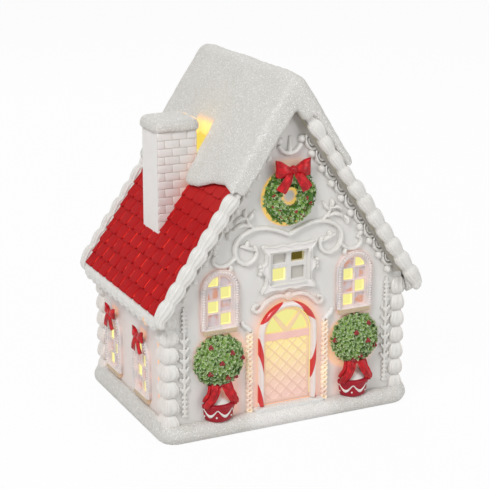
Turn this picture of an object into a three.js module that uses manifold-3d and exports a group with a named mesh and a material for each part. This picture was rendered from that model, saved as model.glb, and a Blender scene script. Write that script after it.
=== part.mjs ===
// Light-up Christmas cottage: a hollow cast house with an iced gable, a tiled roof under snow, and a
// battery light unit in its underside.
// Millimetres. +Z is up, the front faces -Y, and the origin is under the middle of the base.
import * as THREE from "three";
import { mergeVertices } from "three/addons/utils/BufferGeometryUtils.js";
import Module from "manifold-3d";

const wasm = await Module();
wasm.setup();

// Fits
const CLEARANCE = 0.3;

// Cast walls
const WALL_HALF_WIDTH = 93;
const WALL_HALF_DEPTH = 64;
const WALL_THICKNESS = 4;
const WALL_FOOT_Z = 6;

// Snow base
const BASE_SIDE_MARGIN = 6;
const BASE_FRONT_MARGIN = 9.2;
const BASE_HALF_WIDTH = WALL_HALF_WIDTH + BASE_SIDE_MARGIN;
const BASE_HALF_DEPTH = WALL_HALF_DEPTH + BASE_FRONT_MARGIN;
const BASE_CORNER_RADIUS = 13;
const BASE_FRONT_TOP_Z = 11;
const BASE_SIDE_TOP_Z = 15;
const BASE_LEDGE_WIDTH = 12;

// Roof
const EAVE_OVERHANG = 9.7;
const EAVE_X = WALL_HALF_WIDTH + EAVE_OVERHANG;
const EAVE_Z = 95.3;
const ROOF_PITCH_DEGREES = 55.2;
const RAKE_OVERHANG = 4;
const ROOF_HALF_DEPTH = WALL_HALF_DEPTH + RAKE_OVERHANG;
const ROOF_THICKNESS = 5.5;
const TILE_ROWS = 10;
const TILE_ROW_PITCH = 10;
const TILES_PER_ROW = 10;
const TILE_STEP = 1.3;
const TILE_ROUNDING = 2.4;

// Snow on the roof
const SNOW_OVERHANG = 9;
const SNOW_HALF_DEPTH = ROOF_HALF_DEPTH + SNOW_OVERHANG;
const SNOW_EDGE_THICKNESS = 6.4;
const SNOW_RIDGE_THICKNESS = 9.4;
const SNOW_FRONT_DROP = 8;
const SNOW_LEFT_END = 99;
const SNOW_RIGHT_END = 157;
const SNOW_WAVE_LENGTH = 84;
const RIDGE_RADIUS = 7.6;

// Icing along the roof edges
const DOLLOP_PITCH = 14;
const RAKE_RISE = 2.8;
const EAVE_ICING_HALF_WIDTH = 3.7;
const EAVE_ICING_HALF_HEIGHT = 4.3;
const DRIP_PITCH = 13.95;
const DRIP_COUNT = 10;
const DRIP_TOP_GAP = 34.8;
const PEARL_RADIUS = 2.6;

// Corner icing and pilasters
const QUOIN_PITCH = 12.6;
const QUOIN_COUNT = 7;
const QUOIN_BOTTOM_Z = 7.4;
const QUOIN_FRONT_WIDTH = 8.2;
const QUOIN_SIDE_WIDTH = 11;
const QUOIN_PROUD = 2.4;
const PILASTER_INSET = 13;
const PILASTER_X = WALL_HALF_WIDTH - PILASTER_INSET;

// Doorway
const DOOR_HALF_WIDTH = 18.6;
const DOOR_SPRING_Z = 67.5;
const DOOR_THICKNESS = 2.6;
const DOOR_RIM = 2;
const DOOR_STEP_Z = 15;
const DOOR_STEP_HALF_WIDTH = 27;
const DOOR_STEP_DEPTH = 6;
const TRANSOM_BOTTOM_Z = 62;
const TRANSOM_TOP_Z = 67;
const LATTICE_PITCH = 9.4;
const LATTICE_BAR = 1.3;
const CANDY_WIDTH = 4.4;
const CANDY_HEIGHT = 3.6;
const COLUMN_X = 30;
const COLUMN_HALF_WIDTH = 2.7;
const COLUMN_TOP_Z = 74;

// Arched windows
const WINDOW_HALF_WIDTH = 14;
const WINDOW_OPENING_HALF_WIDTH = 10.6;
const WINDOW_SILL_Z = 78;
const WINDOW_SPRING_Z = 106.7;
const PANE_WIDTH = 8;
const PANE_HEIGHT = 8.4;
const PANE_PITCH = 9.5;
const FRONT_WINDOW_X = 53;
const SIDE_WINDOW_DROP = 56.3;
const SIDE_WINDOW_FRONT_Y = -22.7;
const SIDE_WINDOW_REAR_Y = 32.1;
const SIDE_BOW_Z = 66;

// Attic window
const ATTIC_HALF_WIDTH = 16.5;
const ATTIC_BOTTOM_Z = 103;
const ATTIC_TOP_Z = 129;

// Wreath
const WREATH_Z = 167;
const WREATH_RADIUS = 13.2;
const WREATH_TUBE_RADIUS = 6.8;
const WREATH_BOW_Z = 186.4;

// Topiaries
const TOPIARY_X = 54;
const BALL_RADIUS = 19.3;
const BALL_DEPTH = 12;
const BALL_Z = 55.2;
const POT_TOP_Z = 24.5;
const POT_RADIUS = 12.4;
const POT_DEPTH_SHARE = 0.84;

// Chimney
const CHIMNEY_LEFT_X = -74.8;
const CHIMNEY_RIGHT_X = -44.8;
const CHIMNEY_FRONT_Y = -9.1;
const CHIMNEY_REAR_Y = 18.3;
const CHIMNEY_TOP_Z = 206.6;
const CHIMNEY_SINK = 1.6;
const CHIMNEY_CAP_OVERHANG = 2.8;
const CHIMNEY_CAP_HEIGHT = 9;
const VENT_WIDTH = 12;

// Light unit
const COVER_SIDE_INSET = 5;
const COVER_FRONT_INSET = 6;
const COVER_HALF_WIDTH = WALL_HALF_WIDTH - WALL_THICKNESS - COVER_SIDE_INSET;
const COVER_HALF_DEPTH = WALL_HALF_DEPTH - WALL_THICKNESS - COVER_FRONT_INSET;
const COVER_BOTTOM_Z = 1;
const COVER_THICKNESS = 3;
const CELL_RADIUS = 7.25;
const CELL_LENGTH = 50.5;
const CELL_GAP = 0.6;
const CONTACT_ROOM = 4.5;
const BAY_WALL = 2;
const DOOR_HINGE_RADIUS = 1.2;
const HINGE_PIN_RADIUS = 0.8;
const HINGE_PIN_LENGTH = 2;
const SWITCH_X = 44;
const SWITCH_TRAVEL = 4;
const SWITCH_KNOB = 4.4;
const SWITCH_FLANGE = { halfWidth: 4, halfLength: 4.6, thickness: 1.4 };
const SCREW_HEAD_RADIUS = 3;
const SCREW_HEAD_HEIGHT = 1.4;
const SCREW_SHANK_RADIUS = 1.4;
const SCREW_SHANK_LENGTH = 7;
const LAMP_BOARD_RADIUS = 15;
const LAMP_BOARD_THICKNESS = 1.6;
const LAMP_RADIUS = 9;
const LAMP_HEIGHT = 24;

// Colour, roughness and metalness
const FINISHES = {
  porcelain: [0xdad6cf, 0.75, 0],
  snow: [0xe2e1de, 0.85, 0],
  roofRed: [0xb0181c, 0.3, 0],
  ribbonRed: [0xb3131b, 0.25, 0],
  leafGreen: [0x4d7a3a, 0.6, 0],
  litPane: [0xffe79a, 0.5, 0],
  plastic: [0xe6e4dc, 0.5, 0],
  cell: [0x3a3f45, 0.35, 0.6],
  steel: [0xb8babc, 0.35, 1],
  board: [0x2f5d3a, 0.5, 0],
};

// Worked out from the driving dimensions
const PITCH = THREE.MathUtils.degToRad(ROOF_PITCH_DEGREES);
const RISE = Math.sin(PITCH);
const RUN = Math.cos(PITCH);
const SLOPE_LENGTH = EAVE_X / RUN;
const RIDGE_Z = EAVE_Z + SLOPE_LENGTH * RISE;
const FRONT_Y = -WALL_HALF_DEPTH;
const COVER_TOP_Z = COVER_BOTTOM_Z + COVER_THICKNESS;
const BAY_HALF_WIDTH = (6 * CELL_RADIUS + 4 * CELL_GAP) / 2;
const BAY_HALF_DEPTH = (CELL_LENGTH + CONTACT_ROOM) / 2;
const CELL_Z = COVER_TOP_Z + CELL_RADIUS + 1;
const BAY_ROOF_Z = CELL_Z + CELL_RADIUS + 0.8;
const BAY_TOP_Z = BAY_ROOF_Z + BAY_WALL;
const HINGE_Y = -(BAY_HALF_DEPTH + 1);
const HINGE_Z = COVER_BOTTOM_Z + COVER_THICKNESS / 2;
const BATTERY_DOOR_HALF_WIDTH = BAY_HALF_WIDTH + 0.7;
const BATTERY_DOOR_END_Y = BAY_HALF_DEPTH + 1.1;
const SCREW_PLACES = [4 - COVER_HALF_WIDTH, COVER_HALF_WIDTH - 4];

// Solids

function manifoldOf(vertProperties, triangles) {
  const triVerts = new Uint32Array(triangles.flat());
  return new wasm.Manifold(new wasm.Mesh({ numProp: 3, vertProperties, triVerts }));
}

function solid(geometry) {
  const bare = geometry.clone();
  bare.deleteAttribute("normal");
  bare.deleteAttribute("uv");
  const merged = mergeVertices(bare, 1e-4);
  const index = merged.index.array;
  const triangles = [];
  for (let i = 0; i < index.length; i += 3) {
    const [a, b, c] = [index[i], index[i + 1], index[i + 2]];
    if (a !== b && b !== c && c !== a) triangles.push([a, b, c]);
  }
  const vertices = merged.attributes.position.array;
  const made = manifoldOf(vertices, triangles);
  return made.volume() > 0 ? made : manifoldOf(vertices, triangles.map(([a, b, c]) => [a, c, b]));
}

function geometryOf(manifold) {
  const mesh = manifold.getMesh();
  const geometry = new THREE.BufferGeometry();
  geometry.setAttribute("position", new THREE.BufferAttribute(new Float32Array(mesh.vertProperties), 3));
  geometry.setIndex(new THREE.BufferAttribute(new Uint32Array(mesh.triVerts), 1));
  const faceted = geometry.toNonIndexed();
  faceted.computeVertexNormals();
  return faceted;
}

function join(...parts) {
  return parts.flat().reduce((whole, part) => whole.add(part));
}

function block(x0, x1, y0, y1, z0, z1) {
  const geometry = new THREE.BoxGeometry(x1 - x0, y1 - y0, z1 - z0);
  return solid(geometry.translate((x0 + x1) / 2, (y0 + y1) / 2, (z0 + z1) / 2));
}

// A rod from its start point along +X or +Z.
function rod(radius, length, axis, x, y, z, sides = 12) {
  const geometry = new THREE.CylinderGeometry(radius, radius, length, sides).translate(0, length / 2, 0);
  if (axis === "x") geometry.rotateZ(-Math.PI / 2);
  else geometry.rotateX(Math.PI / 2);
  return solid(geometry.translate(x, y, z));
}

function pathOf(Kind, points) {
  return new Kind(points.map(([x, y]) => new THREE.Vector2(x, y)));
}

function plate(points, depth, holes = []) {
  const shape = pathOf(THREE.Shape, points);
  for (const hole of holes) shape.holes.push(pathOf(THREE.Path, hole));
  return new THREE.ExtrudeGeometry(shape, { depth, bevelEnabled: false });
}

// An outline in (x, z), extruded along Y.
function prism(points, y0, y1) {
  return solid(plate(points, y1 - y0).rotateX(Math.PI / 2).translate(0, y1, 0));
}

// Moves a geometry drawn in (x, y = up, z = out of the wall) onto the front wall.
function onFront(geometry) {
  return geometry.rotateX(Math.PI / 2).translate(0, FRONT_Y, 0);
}

// A relief drawn in (x, z) that stands out of the front wall from one height to another.
function relief(points, low, high, holes = []) {
  return solid(onFront(plate(points, high - low, holes).translate(0, 0, low)));
}

function behindFrontWall() {
  return block(-200, 200, FRONT_Y, 200, -50, 300);
}

function areaOf(points) {
  const double = points.reduce((sum, p, i) => {
    const q = points[(i + 1) % points.length];
    return sum + p.x * q.y - q.x * p.y;
  }, 0);
  return double / 2;
}

// The triangles that close a ring, turning the way the ring turns.
function capOf(ring) {
  const normal = new THREE.Vector3();
  ring.forEach((p, i) => {
    const q = ring[(i + 1) % ring.length];
    normal.add(new THREE.Vector3().crossVectors(p, q));
  });
  const [ax, ay, az] = [Math.abs(normal.x), Math.abs(normal.y), Math.abs(normal.z)];
  const flat = ring.map((p) => {
    if (az >= ax && az >= ay) return new THREE.Vector2(p.x, p.y);
    if (ay >= ax) return new THREE.Vector2(p.z, p.x);
    return new THREE.Vector2(p.y, p.z);
  });
  const turn = Math.sign(areaOf(flat));
  return THREE.ShapeUtils.triangulateShape(flat, []).map(([a, b, c]) => {
    const same = Math.sign(areaOf([flat[a], flat[b], flat[c]])) === turn;
    return same ? [a, b, c] : [a, c, b];
  });
}

// A closed body through rings that have the same number of points.
function loft(rings) {
  const count = rings[0].length;
  const last = (rings.length - 1) * count;
  const faces = capOf(rings[0]).map(([a, b, c]) => [a, c, b]);
  for (const face of capOf(rings[rings.length - 1])) faces.push(face.map((i) => last + i));
  for (let r = 0; r + 1 < rings.length; r++) {
    for (let i = 0; i < count; i++) {
      const a = r * count + i;
      const b = r * count + ((i + 1) % count);
      faces.push([a, b, b + count], [a, b + count, a + count]);
    }
  }
  const geometry = new THREE.BufferGeometry();
  const positions = rings.flat().flatMap((p) => [p.x, p.y, p.z]);
  geometry.setAttribute("position", new THREE.Float32BufferAttribute(positions, 3));
  geometry.setIndex(faces.flat());
  return solid(geometry);
}

// A rounded rectangle whose two sides across X may lie higher than its front and rear.
function roundedRectangle(halfX, halfY, radius, steps, z, sideLift = 0) {
  const ring = [];
  const corners = [[1, 1], [-1, 1], [-1, -1], [1, -1]];
  corners.forEach(([sx, sy], corner) => {
    for (let i = 0; i <= steps; i++) {
      const angle = (Math.PI / 2) * (corner + i / steps);
      const x = sx * (halfX - radius) + radius * Math.cos(angle);
      const y = sy * (halfY - radius) + radius * Math.sin(angle);
      ring.push(new THREE.Vector3(x, y, z + sideLift * Math.cos(angle) ** 2));
    }
  });
  return ring;
}

// The outline of an arched opening, from its foot to its crown.
function arch(halfWidth, footZ, springZ, x = 0, steps = 6) {
  const points = [[x - halfWidth, footZ], [x + halfWidth, footZ]];
  for (let i = 0; i <= steps; i++) {
    const angle = (Math.PI * i) / steps;
    points.push([x + halfWidth * Math.cos(angle), springZ + halfWidth * Math.sin(angle)]);
  }
  return points;
}

function rectangle(x0, x1, z0, z1) {
  return [[x0, z0], [x1, z0], [x1, z1], [x0, z1]];
}

const BEAD = [[-1, 0], [-0.5, 0.95], [0.5, 0.95], [1, 0]];
const SHARP_BEAD = [[-1, 0], [0, 1], [1, 0]];

// A line of piped icing on the front wall: a flat-backed bead along a path in (x, z).
function piping(path, halfWidth, height, widthAt = () => 1, section = BEAD) {
  const rings = path.map(([x, z], i) => {
    const [x0, z0] = path[Math.max(i - 1, 0)];
    const [x1, z1] = path[Math.min(i + 1, path.length - 1)];
    const length = Math.hypot(x1 - x0, z1 - z0);
    const [nx, nz] = [-(z1 - z0) / length, (x1 - x0) / length];
    const scale = widthAt(i / (path.length - 1));
    return section.map(([across, up]) => {
      const shift = across * halfWidth * scale;
      return new THREE.Vector3(x + nx * shift, FRONT_Y - up * height * scale, z + nz * shift);
    });
  });
  return loft(rings);
}

function curve(points, steps) {
  return pathOf(THREE.SplineCurve, points).getPoints(steps).map((p) => [p.x, p.y]);
}

function mirrored(points) {
  return points.map(([x, z]) => [-x, z]);
}

// A flattened round lump standing on the front wall.
function lump(x, z, radiusX, radiusZ, height, wide = 8, high = 4) {
  const ball = new THREE.SphereGeometry(1, wide, high).scale(radiusX, radiusZ, height);
  return solid(onFront(ball.translate(x, z, 0))).subtract(behindFrontWall());
}

// Slopes: u runs up the left slope from the eave, v along +Y, n out of the tiles.

function slopePoint(u, n) {
  return [-EAVE_X + u * RUN - n * RISE, EAVE_Z + u * RISE + n * RUN];
}

// The height over x of the plane that lies n out of the tiles.
function slopeZ(x, n) {
  return RIDGE_Z + n / RUN - Math.abs(x) * Math.tan(PITCH);
}

const LEFT_SLOPE = new THREE.Matrix4()
  .makeBasis(new THREE.Vector3(RUN, 0, RISE), new THREE.Vector3(0, 1, 0), new THREE.Vector3(-RISE, 0, RUN))
  .setPosition(-EAVE_X, 0, EAVE_Z);

// Everything under the left slope that lies lower than n out of the tiles.
function belowSlope(n) {
  const farX = -EAVE_X - 60;
  return prism([[farX, slopeZ(farX, n)], [0, slopeZ(0, n)], [0, -100], [farX, -300]], -120, 120);
}

// Snow base

function baseBody() {
  const deeper = BASE_SIDE_TOP_Z - BASE_FRONT_TOP_Z;
  const levels = [
    [2.2, 0, 0],
    [0.5, 2.5, 0],
    [0, 5, 0],
    [0.7, 8, 0.25],
    [2.6, BASE_FRONT_TOP_Z - 0.8, 0.7],
    [4.4, BASE_FRONT_TOP_Z, 1],
  ];
  const rings = levels.map(([inset, z, share]) => {
    const [halfX, halfY] = [BASE_HALF_WIDTH - inset, BASE_HALF_DEPTH - inset];
    return roundedRectangle(halfX, halfY, BASE_CORNER_RADIUS - inset, 3, z, share * deeper);
  });
  const [seatX, seatY] = [WALL_HALF_WIDTH + CLEARANCE, WALL_HALF_DEPTH + CLEARANCE];
  rings.push(roundedRectangle(seatX, seatY, 1, 3, BASE_FRONT_TOP_Z, deeper));
  return loft(rings);
}

function snowBase() {
  const ledgeX = WALL_HALF_WIDTH - WALL_THICKNESS - BASE_LEDGE_WIDTH;
  const ledgeY = WALL_HALF_DEPTH - WALL_THICKNESS - BASE_LEDGE_WIDTH;
  const [outX, outY] = [WALL_HALF_WIDTH + CLEARANCE, WALL_HALF_DEPTH + CLEARANCE];
  const [inX, inY] = [outX - WALL_THICKNESS - 2 * CLEARANCE, outY - WALL_THICKNESS - 2 * CLEARANCE];
  const groove = block(-outX, outX, -outY, outY, WALL_FOOT_Z, 40).subtract(block(-inX, inX, -inY, inY, 0, 60));
  const well = block(-ledgeX, ledgeX, -ledgeY, ledgeY, -5, 40);
  const over = block(-inX, inX, -inY, inY, BASE_FRONT_TOP_Z, 40);
  const [rebateX, rebateY] = [COVER_HALF_WIDTH + CLEARANCE, COVER_HALF_DEPTH + CLEARANCE];
  const rebate = block(-rebateX, rebateX, -rebateY, rebateY, -5, COVER_TOP_Z + CLEARANCE);
  let base = baseBody().subtract(groove).subtract(well).subtract(over).subtract(rebate);
  for (const x of SCREW_PLACES) base = base.subtract(screwHole(x));
  return base;
}

function screwHole(x) {
  const top = COVER_BOTTOM_Z + SCREW_HEAD_HEIGHT + SCREW_SHANK_LENGTH + CLEARANCE;
  return rod(SCREW_SHANK_RADIUS + CLEARANCE, top + 2, "z", x, 0, -2);
}

// Cast walls

function houseWalls() {
  const under = -(ROOF_THICKNESS + CLEARANCE);
  const eaveZ = slopeZ(WALL_HALF_WIDTH, under);
  const gable = rectangle(-WALL_HALF_WIDTH, WALL_HALF_WIDTH, WALL_FOOT_Z, eaveZ);
  gable.splice(3, 0, [0, slopeZ(0, under)]);
  const innerX = WALL_HALF_WIDTH - WALL_THICKNESS;
  const innerY = WALL_HALF_DEPTH - WALL_THICKNESS;
  let walls = prism(gable, FRONT_Y, WALL_HALF_DEPTH);
  walls = walls.subtract(block(-innerX, innerX, -innerY, innerY, 0, 300));
  const { halfWidth, bottom, top } = atticOpening();
  const frontCuts = [
    arch(DOOR_HALF_WIDTH, DOOR_STEP_Z, DOOR_SPRING_Z, 0, 10),
    windowOpening(-FRONT_WINDOW_X, 0),
    windowOpening(FRONT_WINDOW_X, 0),
    rectangle(-halfWidth, halfWidth, bottom, top),
  ];
  for (const outline of frontCuts) walls = walls.subtract(prism(outline, FRONT_Y - 5, FRONT_Y + 10));
  for (const turn of [-1, 1]) {
    for (const y of [SIDE_WINDOW_FRONT_Y, SIDE_WINDOW_REAR_Y]) {
      const cut = prism(windowOpening(turn * y, SIDE_WINDOW_DROP), -5, 10);
      walls = walls.subtract(cut.rotate([0, 0, turn * 90]).translate([turn * WALL_HALF_WIDTH, 0, 0]));
    }
  }
  return walls;
}

function windowOpening(x, drop) {
  return arch(WINDOW_OPENING_HALF_WIDTH, WINDOW_SILL_Z - drop, WINDOW_SPRING_Z - drop, x);
}

function atticOpening() {
  return { halfWidth: ATTIC_HALF_WIDTH - 2, bottom: ATTIC_BOTTOM_Z + 1.5, top: ATTIC_TOP_Z - 1.5 };
}

// Tiled roof

// One row of tiles with round lower ends, lying on the tops of the row below.
function tileRow(row) {
  const low = row * TILE_ROW_PITCH + TILE_ROUNDING;
  const width = (2 * ROOF_HALF_DEPTH) / TILES_PER_ROW;
  const stagger = row % 2 ? 0.5 : 0;
  const rounded = [[0, 0], [0.22, 1], [0.78, 1]];
  const end = low - (stagger ? TILE_ROUNDING : 0);
  const points = [[end, -ROOF_HALF_DEPTH]];
  for (let tile = -1; tile <= TILES_PER_ROW; tile++) {
    for (const [across, down] of rounded) {
      const v = -ROOF_HALF_DEPTH + (tile + across + stagger) * width;
      if (Math.abs(v) < ROOF_HALF_DEPTH - 0.2) points.push([low - down * TILE_ROUNDING, v]);
    }
  }
  const top = low + TILE_ROW_PITCH + 0.6;
  points.push([end, ROOF_HALF_DEPTH], [top, ROOF_HALF_DEPTH], [top, -ROOF_HALF_DEPTH]);
  const geometry = plate(points, TILE_STEP + 1).translate(0, 0, -TILE_STEP - 1);
  const position = geometry.getAttribute("position");
  for (let i = 0; i < position.count; i++) {
    const fall = ((position.getX(i) - low + TILE_ROUNDING) * TILE_STEP) / TILE_ROW_PITCH;
    position.setZ(i, position.getZ(i) - fall);
  }
  return solid(geometry.applyMatrix4(LEFT_SLOPE));
}

function roofPanel() {
  const ridgeX = -CLEARANCE / 2;
  const top = -1.3 * TILE_STEP;
  const outline = [
    slopePoint(0, top),
    slopePoint(0, -ROOF_THICKNESS),
    [ridgeX, slopeZ(ridgeX, -ROOF_THICKNESS)],
    [ridgeX, slopeZ(ridgeX, top)],
  ];
  const rows = [];
  for (let row = 0; row < TILE_ROWS; row++) rows.push(tileRow(row));
  return join(prism(outline, -ROOF_HALF_DEPTH, ROOF_HALF_DEPTH), rows);
}

function chimneyRoom(grow) {
  const [x0, x1] = [CHIMNEY_LEFT_X - grow, CHIMNEY_RIGHT_X + grow];
  return block(x0, x1, CHIMNEY_FRONT_Y - grow, CHIMNEY_REAR_Y + grow, 100, 280);
}

// The opening beside the chimney that lets warm air and light out.
function ventHole() {
  const [y0, y1] = [CHIMNEY_FRONT_Y + 1.5, CHIMNEY_REAR_Y - 1.5];
  return block(CHIMNEY_RIGHT_X, CHIMNEY_RIGHT_X + VENT_WIDTH, y0, y1, 150, 260);
}

function roofLeft() {
  const seat = chimneyRoom(CLEARANCE).subtract(belowSlope(-CHIMNEY_SINK - TILE_STEP - CLEARANCE));
  return roofPanel().subtract(seat).subtract(ventHole());
}

// Snow on the roof

// The outline across the roof of a layer, between an inner plane and an outer one that thickens
// towards the ridge.
function layerRing(y, leftEnd, rightEnd, inner, outerEdge, outerRidge) {
  const centreZ = slopeZ(0, outerRidge) - RIDGE_RADIUS / RUN;
  const edgeOf = (end, side) => {
    const thick = outerEdge - inner;
    const edge = [
      [end + 1, inner],
      [end - 0.6, inner + 0.35 * thick],
      [end + 1.2, inner + 0.8 * thick],
      [end + 5, outerEdge],
    ];
    return edge.map(([u, n]) => {
      const [x, z] = slopePoint(u, n);
      return [-side * x, z];
    });
  };
  const points = [[0, slopeZ(0, inner)], ...edgeOf(rightEnd, 1)];
  for (let i = 0; i <= 4; i++) {
    const angle = PITCH * (1 - i / 2);
    points.push([RIDGE_RADIUS * Math.sin(angle), centreZ + RIDGE_RADIUS * Math.cos(angle)]);
  }
  points.push(...edgeOf(leftEnd, -1).reverse());
  return points.map(([x, z]) => new THREE.Vector3(x, y, z));
}

function waveAt(y, low, high, phase) {
  return low + (high - low) * (0.5 + 0.5 * Math.sin((2 * Math.PI * (y + phase)) / SNOW_WAVE_LENGTH));
}

function snowCap() {
  const ends = [[SNOW_HALF_DEPTH, 0.55], [SNOW_HALF_DEPTH - 1.2, 0.8], [SNOW_HALF_DEPTH - 4, 0.95]];
  const stations = ends.map(([y, share]) => [-y, share]);
  for (let i = 0; i <= 8; i++) stations.push([-62 + (i * 124) / 8, 1]);
  stations.push(...ends.reverse());
  const rings = stations.map(([y, share]) => {
    const [leftEnd, rightEnd] = [waveAt(y, 88, 100, 81), waveAt(y, 88, 99, 95)];
    const [edge, ridge] = [SNOW_EDGE_THICKNESS * share, SNOW_RIDGE_THICKNESS * share];
    return layerRing(y, leftEnd, rightEnd, CLEARANCE, edge, ridge);
  });
  const cap = join(loft(rings), snowDrape(), snowDrape().rotate([0, 0, 180]));
  return cap.subtract(chimneyRoom(CLEARANCE)).subtract(ventHole());
}

// The snow that hangs over the front edge of the roof.
function snowDrape() {
  const back = -(ROOF_HALF_DEPTH + CLEARANCE);
  const front = -SNOW_HALF_DEPTH;
  const rings = [[back, -SNOW_FRONT_DROP], [front + 1.4, -SNOW_FRONT_DROP], [front, 1.6 - SNOW_FRONT_DROP]];
  return loft(rings.map(([y, inner]) => layerRing(y, SNOW_LEFT_END, SNOW_RIGHT_END, inner, 2, 2)));
}

// Icing along the roof edges

function rakeRing(u, scale, top) {
  const back = ROOF_HALF_DEPTH + CLEARANCE;
  const front = SNOW_HALF_DEPTH - 0.4;
  const [midV, midN] = [-(back + front) / 2, (top - SNOW_FRONT_DROP) / 2];
  const [halfV, halfN] = [(front - back) / 2, (top + SNOW_FRONT_DROP) / 2];
  const section = [[1, -0.8], [-0.4, -1], [-1, -0.5], [-1, 0.5], [-0.4, 1], [1, 0.8]];
  return section.map(([v, n]) => {
    const across = midV + v * halfV * (v === 1 ? 1 : scale);
    return new THREE.Vector3(u, across, midN + n * halfN * scale).applyMatrix4(LEFT_SLOPE);
  });
}

// A row of overlapping dollops up the left rake, with a round tip at the eave.
function rakeIcing(topEnd) {
  const rings = [rakeRing(-5.4, 0.6, -2.6), rakeRing(-4.2, 0.92, -0.6), rakeRing(-1.6, 1, 1.4)];
  const count = Math.floor((topEnd + 1) / DOLLOP_PITCH);
  for (let k = 0; k < count; k++) {
    const u = k * DOLLOP_PITCH;
    const underSnow = u + DOLLOP_PITCH > SNOW_LEFT_END - 6;
    const top = underSnow ? -CLEARANCE : RAKE_RISE;
    if (k > 0) rings.push(rakeRing(u - 1, 1, top));
    rings.push(rakeRing(u + DOLLOP_PITCH - 1.4, 0.84, top));
  }
  return loft(rings);
}

function eaveIcing() {
  const [centreX, centreZ] = [-EAVE_X + 2.4, EAVE_Z - EAVE_ICING_HALF_HEIGHT];
  const length = 2 * (ROOF_HALF_DEPTH - 0.5);
  const bumps = Math.round(length / TILE_ROW_PITCH);
  const rings = [];
  for (let i = 0; i <= 2 * bumps; i++) {
    const scale = i % 2 ? 1 : 0.82;
    const y = -length / 2 + (i * length) / (2 * bumps);
    const ring = [];
    for (let k = 0; k < 5; k++) {
      const angle = (2 * Math.PI * (k + 0.5)) / 5;
      const x = centreX + EAVE_ICING_HALF_WIDTH * scale * Math.cos(angle);
      ring.push(new THREE.Vector3(x, y, centreZ + EAVE_ICING_HALF_HEIGHT * scale * Math.sin(angle)));
    }
    rings.push(ring);
  }
  const under = -ROOF_THICKNESS - CLEARANCE;
  const ends = [-CLEARANCE, 40];
  const room = [...ends.map((u) => slopePoint(u, under)), ...ends.reverse().map((u) => slopePoint(u, 20))];
  return loft(rings).subtract(prism(room, -90, 90));
}

// Scallops with a pearl between each two, along the right half of the gable.
function dripTrim() {
  const place = (u, n) => {
    const [x, z] = slopePoint(u, n);
    return [-x, z];
  };
  const top = SLOPE_LENGTH - DRIP_TOP_GAP;
  const bottom = top - (DRIP_COUNT - 1) * DRIP_PITCH;
  const edge = -SNOW_FRONT_DROP - CLEARANCE;
  const under = edge - 1.6;
  const outline = [place(bottom - 8, under), place(bottom - 8, edge), place(top + 4, edge), place(top + 4, under)];
  const hollows = [];
  const pearls = [];
  for (let k = 0; k < DRIP_COUNT; k++) {
    const u = top - k * DRIP_PITCH;
    const [x, z] = place(u, -12.9);
    pearls.push(lump(x, z, PEARL_RADIUS, PEARL_RADIUS + 1, 3.4, 6));
    outline.push(place(u, under - 0.6));
    if (k === DRIP_COUNT - 1) break;
    for (const share of [0.25, 0.5, 0.75]) {
      outline.push(place(u - share * DRIP_PITCH, under - 5 * Math.sin(Math.PI * share)));
    }
    const hollow = [[0.2, 0], [0.3, 2.2], [0.5, 3.2], [0.7, 2.2], [0.8, 0]];
    hollows.push(hollow.map(([share, down]) => place(u - share * DRIP_PITCH, under - down)));
  }
  return join(relief(outline, 0, 2, hollows), pearls);
}

// Corner icing: a stack of pillows wrapped round the corner of the walls.
function quoin() {
  const rings = [];
  for (let k = 0; k < QUOIN_COUNT; k++) {
    const z = QUOIN_BOTTOM_Z + k * QUOIN_PITCH;
    for (const [share, scale] of [[0.05, 0.35], [0.5, 1]]) {
      rings.push(quoinRing(z + share * QUOIN_PITCH, QUOIN_PROUD * scale));
    }
  }
  rings.push(quoinRing(QUOIN_BOTTOM_Z + QUOIN_COUNT * QUOIN_PITCH, QUOIN_PROUD * 0.35));
  const walls = block(-WALL_HALF_WIDTH, 200, FRONT_Y, 200, -10, 300);
  const under = -9;
  const room = [[-40, under], [80, under], [80, 40], [-40, 40]].map(([u, n]) => slopePoint(u, n));
  const roof = prism(room, -120, 120);
  const snow = baseBody().translate([0, 0, CLEARANCE]);
  return loft(rings).subtract(walls).subtract(snow).subtract(snow.mirror([1, 0, 0])).subtract(roof);
}

function quoinRing(z, out) {
  const [x0, y0] = [-WALL_HALF_WIDTH - out, FRONT_Y - out];
  const endX = -WALL_HALF_WIDTH + QUOIN_FRONT_WIDTH - QUOIN_PROUD + out;
  const endY = FRONT_Y + QUOIN_SIDE_WIDTH - QUOIN_PROUD + out;
  const bevel = 0.66 * out;
  const outline = [[x0 + bevel, y0], [endX, y0], [x0, endY], [x0, y0 + bevel]];
  return outline.map(([x, y]) => new THREE.Vector3(x, y, z));
}

// A stem with ladder ticks above and below a run of paired leaves.
function pilaster() {
  const tick = (z) => [[0.8, z - 0.8], [2, z - 0.8], [2, z + 0.8], [0.8, z + 0.8]];
  const leaf = (z) => [[0.8, z - 2.4], [3.9, z + 1.2], [3.3, z + 3], [0.8, z + 0.6]];
  const side = [[0.8, 17]];
  for (let z = 18; z <= 32; z += 3.5) side.push(...tick(z));
  for (let z = 37; z <= 74; z += 7.2) side.push(...leaf(z));
  for (let z = 80.5; z <= 96.5; z += 3.2) side.push(...tick(z));
  side.push([0.8, 97.6]);
  return relief([...side, ...mirrored(side).reverse()].map(([x, z]) => [PILASTER_X + x, z]), 0, 1.8);
}

// Doorway

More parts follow.
